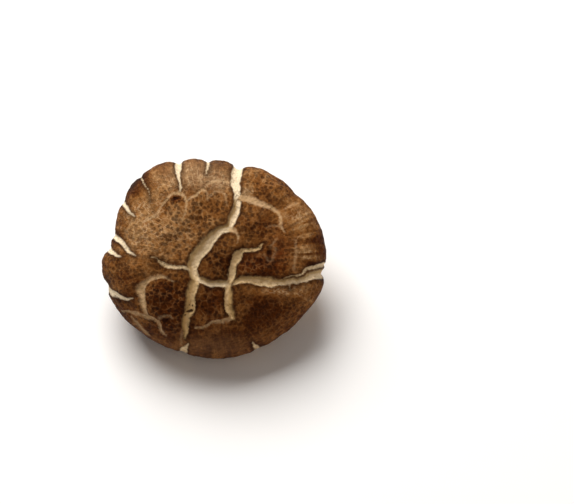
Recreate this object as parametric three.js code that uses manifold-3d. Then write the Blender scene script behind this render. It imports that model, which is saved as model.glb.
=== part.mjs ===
// A dried shiitake mushroom with its cap, gills and stem grown as one body. Millimetres, +Z up.
//
// It is shaped in the cap's own frame: x to the right, y up the slope of the cap, and z along the cap's axis.
// The origin of that frame is on the axis, at the level of the lowest part of the rolled margin. The whole is
// then tipped by CAP_TILT, so that it leans forward on two lobes of its margin and on the end of its stem.
import * as THREE from "three";
import { mergeVertices } from "three/addons/utils/BufferGeometryUtils.js";
import Module from "manifold-3d";

const wasm = await Module();
wasm.setup();

// The cap's outline, as radii a fixed step apart, counted anticlockwise from the right.
const RIM_STEP = 15; // degrees
const RIM_RADII = [
  25.0, 24.6, 23.9, 23.1, 22.6, 21.6, 21.8, 22.9, 24.2, 24.6, 24.0, 23.3,
  24.9, 25.0, 24.3, 23.3, 22.6, 22.1, 22.4, 22.4, 22.5, 22.8, 23.8, 24.9,
];

// Where a fissure crosses the outline, the cap is pinched in: [degrees, depth, half width in degrees].
const NOTCHES = [
  [-6, 0.4, 4], [38, 0.5, 3.5], [75, 0.8, 4.5], [93.5, 0.5, 3], [110, 0.6, 4], [132, 0.5, 3],
  [148, 0.5, 3.5], [167, 0.5, 3], [174, 0.9, 3.5], [194, 0.5, 3.5], [251, 0.5, 3.5], [296, 0.5, 3.5],
];

// The cap's profile, from the crown over its widest level and round the margin to the lip.
const LIMB_HEIGHT = 7; // the widest level
const DOME_HEIGHT = 12.5; // from the widest level to the crown
const DOME_POWER = 2.3; // 2 is an ellipse, and more is flatter on top with rounder shoulders
const CROWN_SLOPE = [-0.06, -0.08]; // the crown is heaped towards the left and the front
const FLANK_INSET = 3.6; // the flank curls this far inwards down to its lowest level
const LIP_INSET = 2.3; // and the lip this much further, up to where the gills begin
const LIP_HEIGHT = 2.6;
const LUMP_HEIGHT = 0.3;

// The margin's waves, and the wrinkles across it.
const WAVES = 5;
const WAVE_HEIGHT = 1.1;
const WAVE_LOW_AT = 234; // degrees, the middle of one of the lobes that dip
const WRINKLE_HEIGHT = 0.28;

// The gills, and the flesh above them. Each blade has a root, and a flat edge between two shares of its pitch.
const GILLS = 72; // every other one is short
const GILL_DEPTH = 1.5;
const GILL_FLAT_EDGE = [0.34, 0.66];
const GILL_EDGE_HEIGHT = 4.8; // level of the edges halfway to the stem
const GILL_INNER_RADIUS = 4;
const GILL_OVERLAP = 0.9; // the blades run this far into the lip
const GILL_FULL_BEYOND = [5, 9]; // a blade deepens between these radii
const SHORT_GILL_FROM = [12, 15]; // a short one rises between these
const GILL_WANDER = 0.35; // sideways
const FLESH_LEVEL = 9; // the gills' body reaches this far up into the cap
const FLESH_RADIUS = 10;

// The stem: points of its centre line, with its half widths across and along the slope of the cap.
const STEM_SECTIONS = [
  { at: [0, 0.2, 9], half: [7.6, 7.0] },
  { at: [0, 0.4, 5.2], half: [7.0, 6.4] },
  { at: [0.1, 0.9, 3.2], half: [5.9, 5.3] },
  { at: [0.3, 2.2, 0], half: [5.4, 4.7] },
  { at: [0.6, 3.9, -4], half: [5.2, 4.5] },
  { at: [1.0, 5.7, -8], half: [5.3, 4.6] },
  { at: [1.3, 6.8, -10.2], half: [5.4, 4.7] },
  { at: [1.4, 7.2, -11.2], half: [4.8, 4.1] },
];
const STEM_FIBRE = 0.3; // height of the fibres along it
const STEM_HOLLOW = { depth: 0.8, halfAngle: 26 }; // a furrow along its front

// Where the mushroom lies. What reaches below the ground is worn flat.
const CAP_TILT = 30; // degrees
const CAP_ORIGIN = [0, 3.34, 8.7]; // the cap frame's origin in the part's frame

// Fissures in the skin of the cap. Each point is [x, y, width], with x and y as seen along the cap's axis, and
// a point beyond the outline lies that much further round the margin.
const FISSURE_DEPTH = 0.75; // of its width
const FISSURE_DEEPEST = 1.3;
const FISSURES = {
  topRight: [[5.6, 24, 1.6], [5.4, 21, 2.2], [5.2, 18, 2.1], [5.1, 16, 1.8], [5.4, 14.2, 1.4], [5.7, 12.6, 1.4]],
  diagonal: [
    [5.7, 12.6, 1.4], [5.2, 11, 1.6], [4.5, 9.6, 1.7], [4.1, 8, 1.6], [3.2, 6.7, 1.4], [1.6, 5.9, 1.6],
    [0.2, 4.4, 2], [-1, 2.6, 2.2], [-2.4, 1, 2.3], [-3.6, -0.8, 2.2], [-4, -2.6, 1.8], [-3.7, -4.5, 1.6],
  ],
  hook: [[3.6, 6.6, 1], [4.8, 6, 0.9], [5.5, 5, 0.8], [5.4, 3.2, 0.3]],
  leftLeg: [
    [-3.7, -4.5, 1.6], [-4.3, -6, 1.9], [-4.8, -7.6, 2.1], [-4.9, -9.4, 2.1], [-5, -11, 1.9],
    [-5.6, -12.8, 1.6], [-6, -14.4, 1.4], [-6.1, -16, 1.1], [-6.5, -17.4, 0.4],
  ],
  middle: [[-3.7, -4.5, 1.2], [-2.2, -5.3, 1], [-0.6, -5.9, 1], [1, -5.7, 0.9], [3.2, -5.4, 1.2]],
  rightLeg: [
    [3.2, -5.4, 1.6], [3.1, -7, 1.8], [3.1, -8.6, 1.8], [3.4, -10.4, 1.6], [3.9, -12, 1.3], [4.2, -13.2, 1.1],
  ],
  foot: [[4.2, -13.2, 1], [2.2, -13.8, 0.9], [0.4, -14.1, 0.8], [-1.2, -14.7, 0.7], [-3, -15.2, 0.3]],
  arm: [
    [3.2, -5.4, 1.2], [3.9, -3.4, 1.3], [4.3, -1.6, 1.5], [5.1, 0, 1.6], [6.2, 1.5, 1.3], [7.6, 1.8, 1],
    [9.2, 2, 0.9], [10.6, 3.3, 0.4],
  ],
  rightRim: [
    [4.6, -5.1, 0.7], [7, -4.9, 1.5], [9.4, -4.9, 1.6], [12, -5.2, 1.8], [14.6, -5.3, 1.6], [17, -4.9, 1.6],
    [19.4, -4.2, 2], [21.6, -3.6, 2.4], [23.6, -2.9, 2.7], [25.6, -2.5, 2.6], [28, -2.6, 1.8],
  ],
  upperRight: [
    [6, 13.2, 1.3], [7.6, 13, 1.3], [9.2, 12.7, 1.3], [10.8, 12, 1.2], [12.6, 11.3, 1], [14.2, 10.3, 0.7],
    [14.6, 8.6, 0.7], [14.7, 6.8, 0.5], [15.6, 5.8, 0.3],
  ],
  leftArm: [
    [-3.9, -3.9, 0.8], [-5.2, -2.7, 0.8], [-6.8, -2.2, 0.9], [-8.4, -1.9, 0.9], [-10, -1.6, 0.7],
    [-12, -0.5, 0.6], [-13.6, 0.4, 0.3],
  ],
  hoop: [
    [-8.8, -5.2, 0.3], [-10.4, -4.4, 0.5], [-12.2, -4, 0.7], [-14, -4.5, 0.9], [-15.4, -5.6, 1.1],
    [-16, -7.2, 1.2], [-15.8, -9, 0.9], [-15.4, -10.8, 0.9], [-14.9, -12.5, 0.7],
  ],
  lowerLeft: [
    [-20.4, -11.7, 0.4], [-18.4, -12, 0.7], [-16.6, -12.3, 0.7], [-14.8, -12.9, 0.8], [-13.2, -13.6, 0.9],
    [-12.2, -14.8, 0.8], [-11.4, -16, 0.6], [-10.4, -16.8, 0.3],
  ],
  leftFlank: [[-18.4, -12.9, 0.3], [-17.2, -14.2, 0.6], [-15.8, -15.8, 0.6], [-14.2, -17.2, 0.3]],
  leftRim: [
    [-26.2, -4.6, 1], [-24.6, -5.6, 1.1], [-23.4, -7.1, 1.3], [-21.8, -8.2, 1.2], [-20, -8.8, 0.9],
    [-17.8, -8.9, 0.3],
  ],
  leftRimMiddle: [[-26, 3.6, 1.2], [-24, 2.6, 1.4], [-22.8, 1.6, 1.2], [-21.8, 0.8, 0.8], [-20.4, 0.2, 0.3]],
  leftRimUpper: [
    [-25, 7.4, 0.8], [-22.4, 5, 1.2], [-20.8, 3.9, 1.3], [-19.5, 2.7, 1.1], [-18.6, 1.6, 0.8], [-17.2, 0.9, 0.3],
  ],
  upperLeft: [[-22.4, 14, 0.9], [-20.4, 12.4, 1], [-19.4, 11.2, 1], [-18.4, 10, 0.8], [-17, 9, 0.3]],
  upperLeftThin: [[-18.6, 20.4, 0.5], [-16, 17.8, 0.5], [-14.9, 15.9, 0.5], [-14, 14.4, 0.4], [-13.6, 12.6, 0.3]],
  topLeft: [
    [-8.6, 25.4, 1.2], [-8, 22, 1.7], [-7.8, 19.8, 1.5], [-7.7, 17.8, 1.1], [-7.4, 16, 0.8], [-7.2, 14.6, 0.5],
  ],
  topMiddle: [[-1.2, 24.6, 0.8], [-1.3, 21.6, 1], [-1.3, 20, 0.8], [-1.5, 18.2, 0.3]],
  arch: [
    [-15.4, 8, 0.3], [-13.6, 9.2, 0.7], [-12, 10.6, 0.7], [-10.9, 12.2, 0.7], [-9.8, 13.8, 0.8],
    [-8.4, 14.5, 0.9], [-6.9, 14.1, 0.8], [-6.1, 12.8, 0.7], [-6.1, 11, 0.5], [-6.5, 8.6, 0.3],
  ],
  topRidge: [
    [-6, 13.2, 0.4], [-4.4, 14.2, 0.6], [-2.6, 14.7, 0.7], [-1.3, 15.6, 0.7], [-0.2, 16.8, 0.6],
    [1.6, 17.2, 0.6], [3.8, 16.8, 0.3],
  ],
  bottomLeft: [[-5.8, -18.8, 0.6], [-6.8, -20.6, 1.9], [-7.6, -23.6, 1.6]],
  bottomRight: [[8.4, -18.6, 0.5], [9.5, -19.9, 1.2], [10.8, -23, 1.2]],
};

// Facets, and the distance between two cuts of a fissure.
const CAP_COLUMNS = 96; // even, because the wrinkles alternate
const DOME_RINGS = 7;
const FLANK_RINGS = 3;
const LIP_RINGS = 2;
const GILL_RINGS = 5;
const STEM_SIDES = 28; // even, because the fibres alternate
const FISSURE_STEP = 2;

const { degToRad, euclideanModulo, smoothstep } = THREE.MathUtils;
const TURN = 2 * Math.PI;

// Points on a circle at a fixed number of angles, each worked out by a function of the angle and its number.
const around = (count, point) => Array.from({ length: count }, (_, i) => point((i / count) * TURN, i));

const polar = (radius, angle, height) => [radius * Math.cos(angle), radius * Math.sin(angle), height];

// The outline's radius at an angle: a periodic cubic through RIM_RADII, less the notches.
function rimRadius(angle) {
  const degrees = euclideanModulo(THREE.MathUtils.radToDeg(angle), 360);
  const count = RIM_RADII.length;
  const before = Math.floor(degrees / RIM_STEP);
  const t = degrees / RIM_STEP - before;
  const [r0, r1, r2, r3] = [-1, 0, 1, 2].map((k) => RIM_RADII[(before + k + count) % count]);
  const smooth = r1 + 0.5 * t * (r2 - r0 + t * (2 * r0 - 5 * r1 + 4 * r2 - r3 + t * (3 * (r1 - r2) + r3 - r0)));
  const pinches = NOTCHES.map(([at, depth, half]) => {
    const away = euclideanModulo(degrees - at + 180, 360) - 180;
    return depth * Math.exp(-((away / half) ** 2));
  });
  return smooth - pinches.reduce((sum, pinch) => sum + pinch);
}

// Height of the margin's waves at an angle.
const marginWave = (angle) => -WAVE_HEIGHT * Math.cos(WAVES * (angle - degToRad(WAVE_LOW_AT)));

// Soft lumps all over the cap.
const lump = (x, y) =>
  LUMP_HEIGHT * (Math.sin(0.42 * x + 0.9) * Math.sin(0.38 * y + 0.4) + 0.6 * Math.sin(0.75 * x - 0.6 * y));

// Height of the dome over the point [x, y] inside the outline: a superellipse of revolution, heaped and lumpy.
function domeHeight(x, y) {
  const share = Math.min(1, Math.hypot(x, y) / rimRadius(Math.atan2(y, x)));
  const rise = (1 - share ** DOME_POWER) ** (1 / DOME_POWER);
  const heap = (CROWN_SLOPE[0] * x + CROWN_SLOPE[1] * y) * (1 - share ** 2);
  return LIMB_HEIGHT + (DOME_HEIGHT + lump(x, y)) * rise + heap;
}

// The margin at an angle. The share runs from 0 to 1 down the flank, and from 1 to 2 in over the lip, and each
// is a quarter of an ellipse. The fold is how far a wrinkle lifts the skin there.
function marginPoint(angle, share, fold = 0) {
  const down = (Math.min(share, 1) * Math.PI) / 2;
  const back = (Math.max(share - 1, 0) * Math.PI) / 2;
  const inset = FLANK_INSET * (1 - Math.cos(down)) + LIP_INSET * Math.sin(back);
  const height = LIMB_HEIGHT * (1 - Math.sin(down)) + LIP_HEIGHT * (1 - Math.cos(back));
  const lift = fold * Math.sin(down);
  return polar(rimRadius(angle) - inset + lift, angle, height + marginWave(angle) * Math.sin(down) - lift / 2);
}

// The skin over [x, y] seen along the cap's axis, or as far round the margin as that lies beyond the outline.
function skinPoint(x, y) {
  const angle = Math.atan2(y, x);
  const beyond = Math.hypot(x, y) - rimRadius(angle);
  const onDome = beyond <= 0;
  return new THREE.Vector3(...(onDome ? [x, y, domeHeight(x, y)] : marginPoint(angle, beyond / LIMB_HEIGHT)));
}

// A manifold solid from positions and faces, turned outwards.
function solidOf(positions, faces) {
  const geometry = new THREE.BufferGeometry();
  geometry.setAttribute("position", new THREE.BufferAttribute(positions, 3));
  geometry.setIndex(faces);
  const merged = mergeVertices(geometry, 1e-5);
  const vertProperties = merged.attributes.position.array;
  const made = new wasm.Manifold(
    new wasm.Mesh({ numProp: 3, vertProperties, triVerts: new Uint32Array(merged.index.array) }),
  );
  if (made.volume() > 0) return made;
  return new wasm.Manifold(
    new wasm.Mesh({ numProp: 3, vertProperties, triVerts: new Uint32Array(merged.index.array).reverse() }),
  );
}

// A solid skinned over rings with the same number of points, with a fan over each end.
function skinned(rings) {
  const count = rings[0].length;
  const last = rings.length - 1;
  const middle = (ring) => [0, 1, 2].map((axis) => ring.reduce((sum, p) => sum + p[axis], 0) / count);
  const points = [...rings.flat(), middle(rings[0]), middle(rings[last])];
  const [startHub, endHub] = [points.length - 2, points.length - 1];
  const faces = [];
  for (let c = 0; c < count; c++) {
    const next = (c + 1) % count;
    for (let row = 0; row < last * count; row += count)
      faces.push(row + c, row + next, row + count + next, row + c, row + count + next, row + count + c);
    faces.push(next, c, startHub, last * count + c, last * count + next, endHub);
  }
  return solidOf(new Float32Array(points.flat()), faces);
}

// The cap without its gills: the dome, the margin, and an underside that lies inside the gills' own body.
function capBody() {
  const dome = Array.from({ length: DOME_RINGS }, (_, r) => {
    const share = Math.sin((((r + 1) / DOME_RINGS) * Math.PI) / 2);
    return around(CAP_COLUMNS, (angle) => {
      const [x, y] = polar(share * rimRadius(angle), angle);
      return [x, y, domeHeight(x, y)];
    });
  });
  const margin = Array.from({ length: FLANK_RINGS + LIP_RINGS }, (_, r) => {
    const share = r < FLANK_RINGS ? (r + 1) / FLANK_RINGS : 1 + (r + 1 - FLANK_RINGS) / LIP_RINGS;
    return around(CAP_COLUMNS, (angle, c) => {
      const fold = (c % 2 ? 1 : -1) * WRINKLE_HEIGHT * (0.65 + 0.35 * Math.sin(7 * angle));
      return marginPoint(angle, share, fold);
    });
  });
  const underside = around(CAP_COLUMNS, (angle) => polar(FLESH_RADIUS, angle, FLESH_LEVEL - 1));
  return skinned([...dome, ...margin, underside]);
}

// Level of the gills' edges at a share of the lip's radius: highest halfway, and lower at the lip and the stem.
function gillEdge(share) {
  const inward = Math.min(1, 1.15 * (1 - share) + 0.03);
  return LIP_HEIGHT + (GILL_EDGE_HEIGHT - LIP_HEIGHT) * Math.sin(Math.PI * inward);
}

// The gills: one disc, raised by this formula into blades that wander a little on their way to the stem.
function gillBody() {
  const reachOf = (angle) => rimRadius(angle) - FLANK_INSET - LIP_INSET + GILL_OVERLAP;
  const columns = [...Array(GILLS).keys()].flatMap((gill) =>
    [0, ...GILL_FLAT_EDGE].map((place) => ({ angle: ((gill + place) / GILLS) * TURN, raised: place > 0, gill })),
  );
  const ring = (share) => columns.map(({ angle, raised, gill }) => {
    const reach = reachOf(angle);
    const radius = GILL_INNER_RADIUS + share * (reach - GILL_INNER_RADIUS);
    const started = gill % 2 ? smoothstep(radius, ...SHORT_GILL_FROM) : 1;
    const depth = raised ? GILL_DEPTH * started * (0.35 + 0.65 * smoothstep(radius, ...GILL_FULL_BEYOND)) : 0;
    const wander = (GILL_WANDER / radius) * Math.sin(0.9 * radius + 5 * angle);
    const level = gillEdge(radius / reach) + GILL_DEPTH - depth + marginWave(angle) * share ** 3;
    return polar(radius, angle + wander, level);
  });
  const blades = Array.from({ length: GILL_RINGS + 1 }, (_, r) => ring(r / GILL_RINGS));
  const top = columns.map(({ angle }) => polar(reachOf(angle), angle, FLESH_LEVEL));
  return skinned([...blades, top]);
}

// The stem: rings round its centre line, with fibres, a furrow along its front and a cut end.
function stemBody() {
  const last = STEM_SECTIONS.length - 1;
  const centre = (i) => new THREE.Vector3(...STEM_SECTIONS[THREE.MathUtils.clamp(i, 0, last)].at);
  const rings = STEM_SECTIONS.map(({ half }, i) => {
    const along = centre(i + 1).sub(centre(i - 1)).normalize();
    const across = new THREE.Vector3(1, 0, 0).addScaledVector(along, -along.x).normalize();
    const upSlope = new THREE.Vector3().crossVectors(along, across);
    return around(STEM_SIDES, (turn, s) => {
      const fibre = (s % 2 ? 1 : -1) * STEM_FIBRE * (0.6 + 0.4 * Math.sin(3 * turn + 0.7 * i));
      const offFront = (turn - 0.75 * TURN) / degToRad(STEM_HOLLOW.halfAngle);
      const furrow = STEM_HOLLOW.depth * Math.exp(-(offFront ** 2)) * Math.sin((i / (last + 1)) * Math.PI);
      return centre(i)
        .addScaledVector(across, (half[0] + fibre) * Math.cos(turn))
        .addScaledVector(upSlope, (half[1] + fibre - furrow) * Math.sin(turn))
        .toArray();
    });
  });
  return skinned(rings);
}

// A three-sided cutter along a fissure: as wide as the fissure at the skin, and one edge below it.
function fissureCutter(points) {
  const path = new THREE.CatmullRomCurve3(points.map((p) => new THREE.Vector3(...p)), false, "centripetal");
  const steps = Math.max(2, Math.ceil(path.getLength() / FISSURE_STEP));
  const samples = Array.from({ length: steps + 1 }, (_, i) => path.getPoint(i / steps));
  const skin = samples.map(({ x, y }) => skinPoint(x, y));
  const nearby = 0.15;
  const clear = 1; // how far the cutter stands out of the skin
  const rings = samples.map(({ x, y, z: width }, i) => {
    const along = skin[Math.min(steps, i + 1)].clone().sub(skin[Math.max(0, i - 1)]).normalize();
    const east = skinPoint(x + nearby, y).sub(skinPoint(x - nearby, y));
    const north = skinPoint(x, y + nearby).sub(skinPoint(x, y - nearby));
    const out = new THREE.Vector3().crossVectors(east, north).normalize();
    out.addScaledVector(along, -out.dot(along)).normalize();
    const side = new THREE.Vector3().crossVectors(out, along);
    const depth = Math.min(FISSURE_DEEPEST, FISSURE_DEPTH * width);
    const half = (width / 2) * (1 + clear / depth);
    return [[-depth, 0], [clear, half], [clear, -half]].map(([lift, aside]) =>
      skin[i].clone().addScaledVector(out, lift).addScaledVector(side, aside).toArray(),
    );
  });
  return skinned(rings);
}

// The ground under the mushroom as a thick slab, in the cap's frame.
function ground(placement) {
  const slab = new THREE.BoxGeometry(200, 200, 50).translate(0, 0, -25).applyMatrix4(placement.clone().invert());
  slab.deleteAttribute("normal");
  slab.deleteAttribute("uv");
  const merged = mergeVertices(slab);
  return solidOf(merged.attributes.position.array, [...merged.index.array]);
}

// The whole body in the cap's frame: grown together, then cracked, then worn flat where it rests.
function mushroomGeometry(placement) {
  const grown = capBody().add(gillBody()).add(stemBody());
  const cracked = Object.values(FISSURES).reduce((body, points) => body.subtract(fissureCutter(points)), grown);
  const { vertProperties, triVerts } = cracked.subtract(ground(placement)).getMesh();
  const geometry = new THREE.BufferGeometry();
  geometry.setAttribute("position", new THREE.BufferAttribute(vertProperties, 3));
  geometry.setIndex(new THREE.BufferAttribute(triVerts, 1));
  geometry.computeVertexNormals();
  return geometry;
}

const mushroom = new THREE.Mesh();
mushroom.name = "mushroom";
mushroom.position.set(...CAP_ORIGIN);
mushroom.rotation.x = degToRad(CAP_TILT);
mushroom.updateMatrix();
mushroom.geometry = mushroomGeometry(mushroom.matrix);
mushroom.material = new THREE.MeshStandardMaterial({ color: 0x6b4526, roughness: 0.85, metalness: 0 });

const part = new THREE.Group();
part.add(mushroom);

export default part;
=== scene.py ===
"""A dried shiitake mushroom: its cracked skin, its gills and its stem, on a pale floor in soft light.

Every surface is worked out in millimetres in the cap's own frame: x to the right, y up the slope of the cap
and z along the cap's axis, with the origin on that axis at the level of the lowest part of the rolled
margin. The last step tips the whole forward, puts it where the part lies, wears it flat on the ground and
turns it into metres.
"""

import logging
from dataclasses import dataclass
from enum import Enum

import bpy
import numpy as np
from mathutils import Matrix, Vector


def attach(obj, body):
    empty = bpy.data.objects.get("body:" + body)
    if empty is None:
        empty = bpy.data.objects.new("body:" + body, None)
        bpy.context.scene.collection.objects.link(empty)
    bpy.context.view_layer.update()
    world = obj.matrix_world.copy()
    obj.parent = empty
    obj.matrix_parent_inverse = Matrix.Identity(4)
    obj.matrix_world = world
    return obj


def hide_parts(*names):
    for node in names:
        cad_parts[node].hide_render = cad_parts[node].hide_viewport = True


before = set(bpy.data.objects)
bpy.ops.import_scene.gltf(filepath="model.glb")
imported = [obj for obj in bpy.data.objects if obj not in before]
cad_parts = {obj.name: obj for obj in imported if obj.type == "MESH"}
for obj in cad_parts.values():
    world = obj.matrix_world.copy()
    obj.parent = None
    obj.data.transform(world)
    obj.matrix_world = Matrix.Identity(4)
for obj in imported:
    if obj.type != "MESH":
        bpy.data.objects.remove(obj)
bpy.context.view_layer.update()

METRES = 0.001  # a millimetre
NODE = "mushroom"  # what the pieces stand for
BODY = "root"  # what they ride on
PATTERN_RADIUS = 22.0  # about the outline's mean radius, for patterns that run round the margin

Array = np.ndarray
Node = bpy.types.Node
Socket = bpy.types.NodeSocket
log = logging.getLogger("mushroom")


class Slot(Enum):
    """The names of the cap's, the gills' and the stem's finishes."""

    SKIN = "cap_skin"
    GILLS = "gills"
    STEM = "stem"


def ease(value: Array, low: float, high: float) -> Array:
    """Rises smoothly from 0 at low to 1 at high.

    Args:
        value: What is compared with the two limits.
        low: Where the rise starts.
        high: Where it ends.

    Returns:
        Three times the square less twice the cube of the share of the way from low to high.
    """
    share = np.clip((value - low) / (high - low), 0.0, 1.0)
    return share * share * (3.0 - 2.0 * share)


def bump_at(value: Array, middle: float, half_width: float) -> Array:
    """A bell of height 1 round a middle value.

    Args:
        value: What is compared with the middle.
        middle: Where the bell is highest.
        half_width: Where it has fallen to 1/e.

    Returns:
        The exponential of minus the square of the distance in half widths.
    """
    return np.exp(-(((value - middle) / half_width) ** 2))


@dataclass(frozen=True)
class Lattice:
    """Smooth random relief: random values on a cubic lattice, blended between its corners.

    Attributes:
        seed: Picks the random values.
        size: Corners along each side, after which the relief repeats.
    """

    seed: int = 7
    size: int = 64

    def relief(self, points: Array, pitch: float, octaves: int = 1) -> Array:
        """Values from -1 to 1 at points, each octave at half the pitch and half the height of the last.

        Args:
            points: Places, with their three coordinates last.
            pitch: Distance between two corners of the first lattice.
            octaves: How many lattices are added.

        Returns:
            The sum of the lattices, each blended by the eased shares of the way between its eight corners.
        """
        corners = np.random.default_rng(self.seed).uniform(-1.0, 1.0, (self.size,) * 3)
        total = np.zeros(points.shape[:-1])
        for octave in range(octaves):
            place = points / pitch * 2.0**octave + 17.3 * octave
            low = np.floor(place).astype(int)
            share = place - low
            share = share * share * (3.0 - 2.0 * share)
            value = np.zeros(total.shape)
            for corner in np.ndindex(2, 2, 2):
                weight = np.prod(np.where(corner, share, 1.0 - share), axis=-1)
                index = (low + corner) % self.size
                value += weight * corners[index[..., 0], index[..., 1], index[..., 2]]
            total += value * 0.5**octave
        return total


def around(angle: Array, radius: Array | float, level: Array | float) -> Array:
    """Points round the axis.

    Args:
        angle: Angles round the axis, in radians.
        radius: Distances from it.
        level: Heights along it.

    Returns:
        The radius times the cosine and the sine of the angle, and the level, stacked last.
    """
    return np.stack(np.broadcast_arrays(radius * np.cos(angle), radius * np.sin(angle), level), axis=-1)


def length_along(given: Array, axes: int) -> Array:
    """How far along a line of straight lengths each of its points lies.

    Args:
        given: The points, one a row.
        axes: How many of a row's first numbers are its place.

    Returns:
        The sum of the lengths before each point.
    """
    steps = np.linalg.norm(np.diff(given[:, :axes], axis=0), axis=1)
    return np.concatenate([[0.0], np.cumsum(steps)])


def smooth_line(given: Array, length: Array, at: Array) -> Array:
    """A smooth line through given points.

    Args:
        given: The points, one a row, each with its place and its widths.
        length: How far along the line each lies.
        at: How far along the wanted points lie.

    Returns:
        The wanted points, on Hermite cubics whose slopes are the mean slopes of the neighbouring points.
    """
    slope = np.gradient(given, length, axis=0)
    i = np.clip(np.searchsorted(length, at, side="right") - 1, 0, len(length) - 2)
    step = (length[i + 1] - length[i])[:, None]
    t = (at - length[i])[:, None] / step
    return (
        (2 * t**3 - 3 * t**2 + 1) * given[i] + (t**3 - 2 * t**2 + t) * slope[i] * step
        + (3 * t**2 - 2 * t**3) * given[i + 1] + (t**3 - t**2) * slope[i + 1] * step
    )


@dataclass(frozen=True)
class Fissure:
    """A crack in the skin, seen along the cap's axis.

    Attributes:
        path: Points (x, y, width). A point beyond the outline lies that much further round the margin.
        pale: How cream its flesh is at its first and its last point, from 0, tan, to 1, cream.
        lean: Where its floor lies between its right side, -1, and its left side, 1, along the path. Its sign
            also picks the side that gets painted shade.
        depth: Its depth as a share of the usual one.
        shoulder: How far the plates beside it are rounded down to it.
        strength: How plainly its flesh shows.
    """

    path: tuple[tuple[float, float, float], ...]
    pale: tuple[float, float] = (0.5, 0.5)
    lean: float = 0.0
    depth: float = 1.0
    shoulder: float = 0.25
    strength: float = 1.0

    def smooth_path(self, pieces: int = 5) -> Array:
        """The path as a finer one through the same points.

        Args:
            pieces: Lengths between two given points.

        Returns:
            Points (x, y, width) on a smooth line.
        """
        given = np.array(self.path, float)
        length = length_along(given, 2)
        share = np.linspace(0.0, 1.0, pieces, endpoint=False)
        at = length[:-1, None] + np.diff(length)[:, None] * share
        return smooth_line(given, length, np.append(at, length[-1]))


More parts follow.
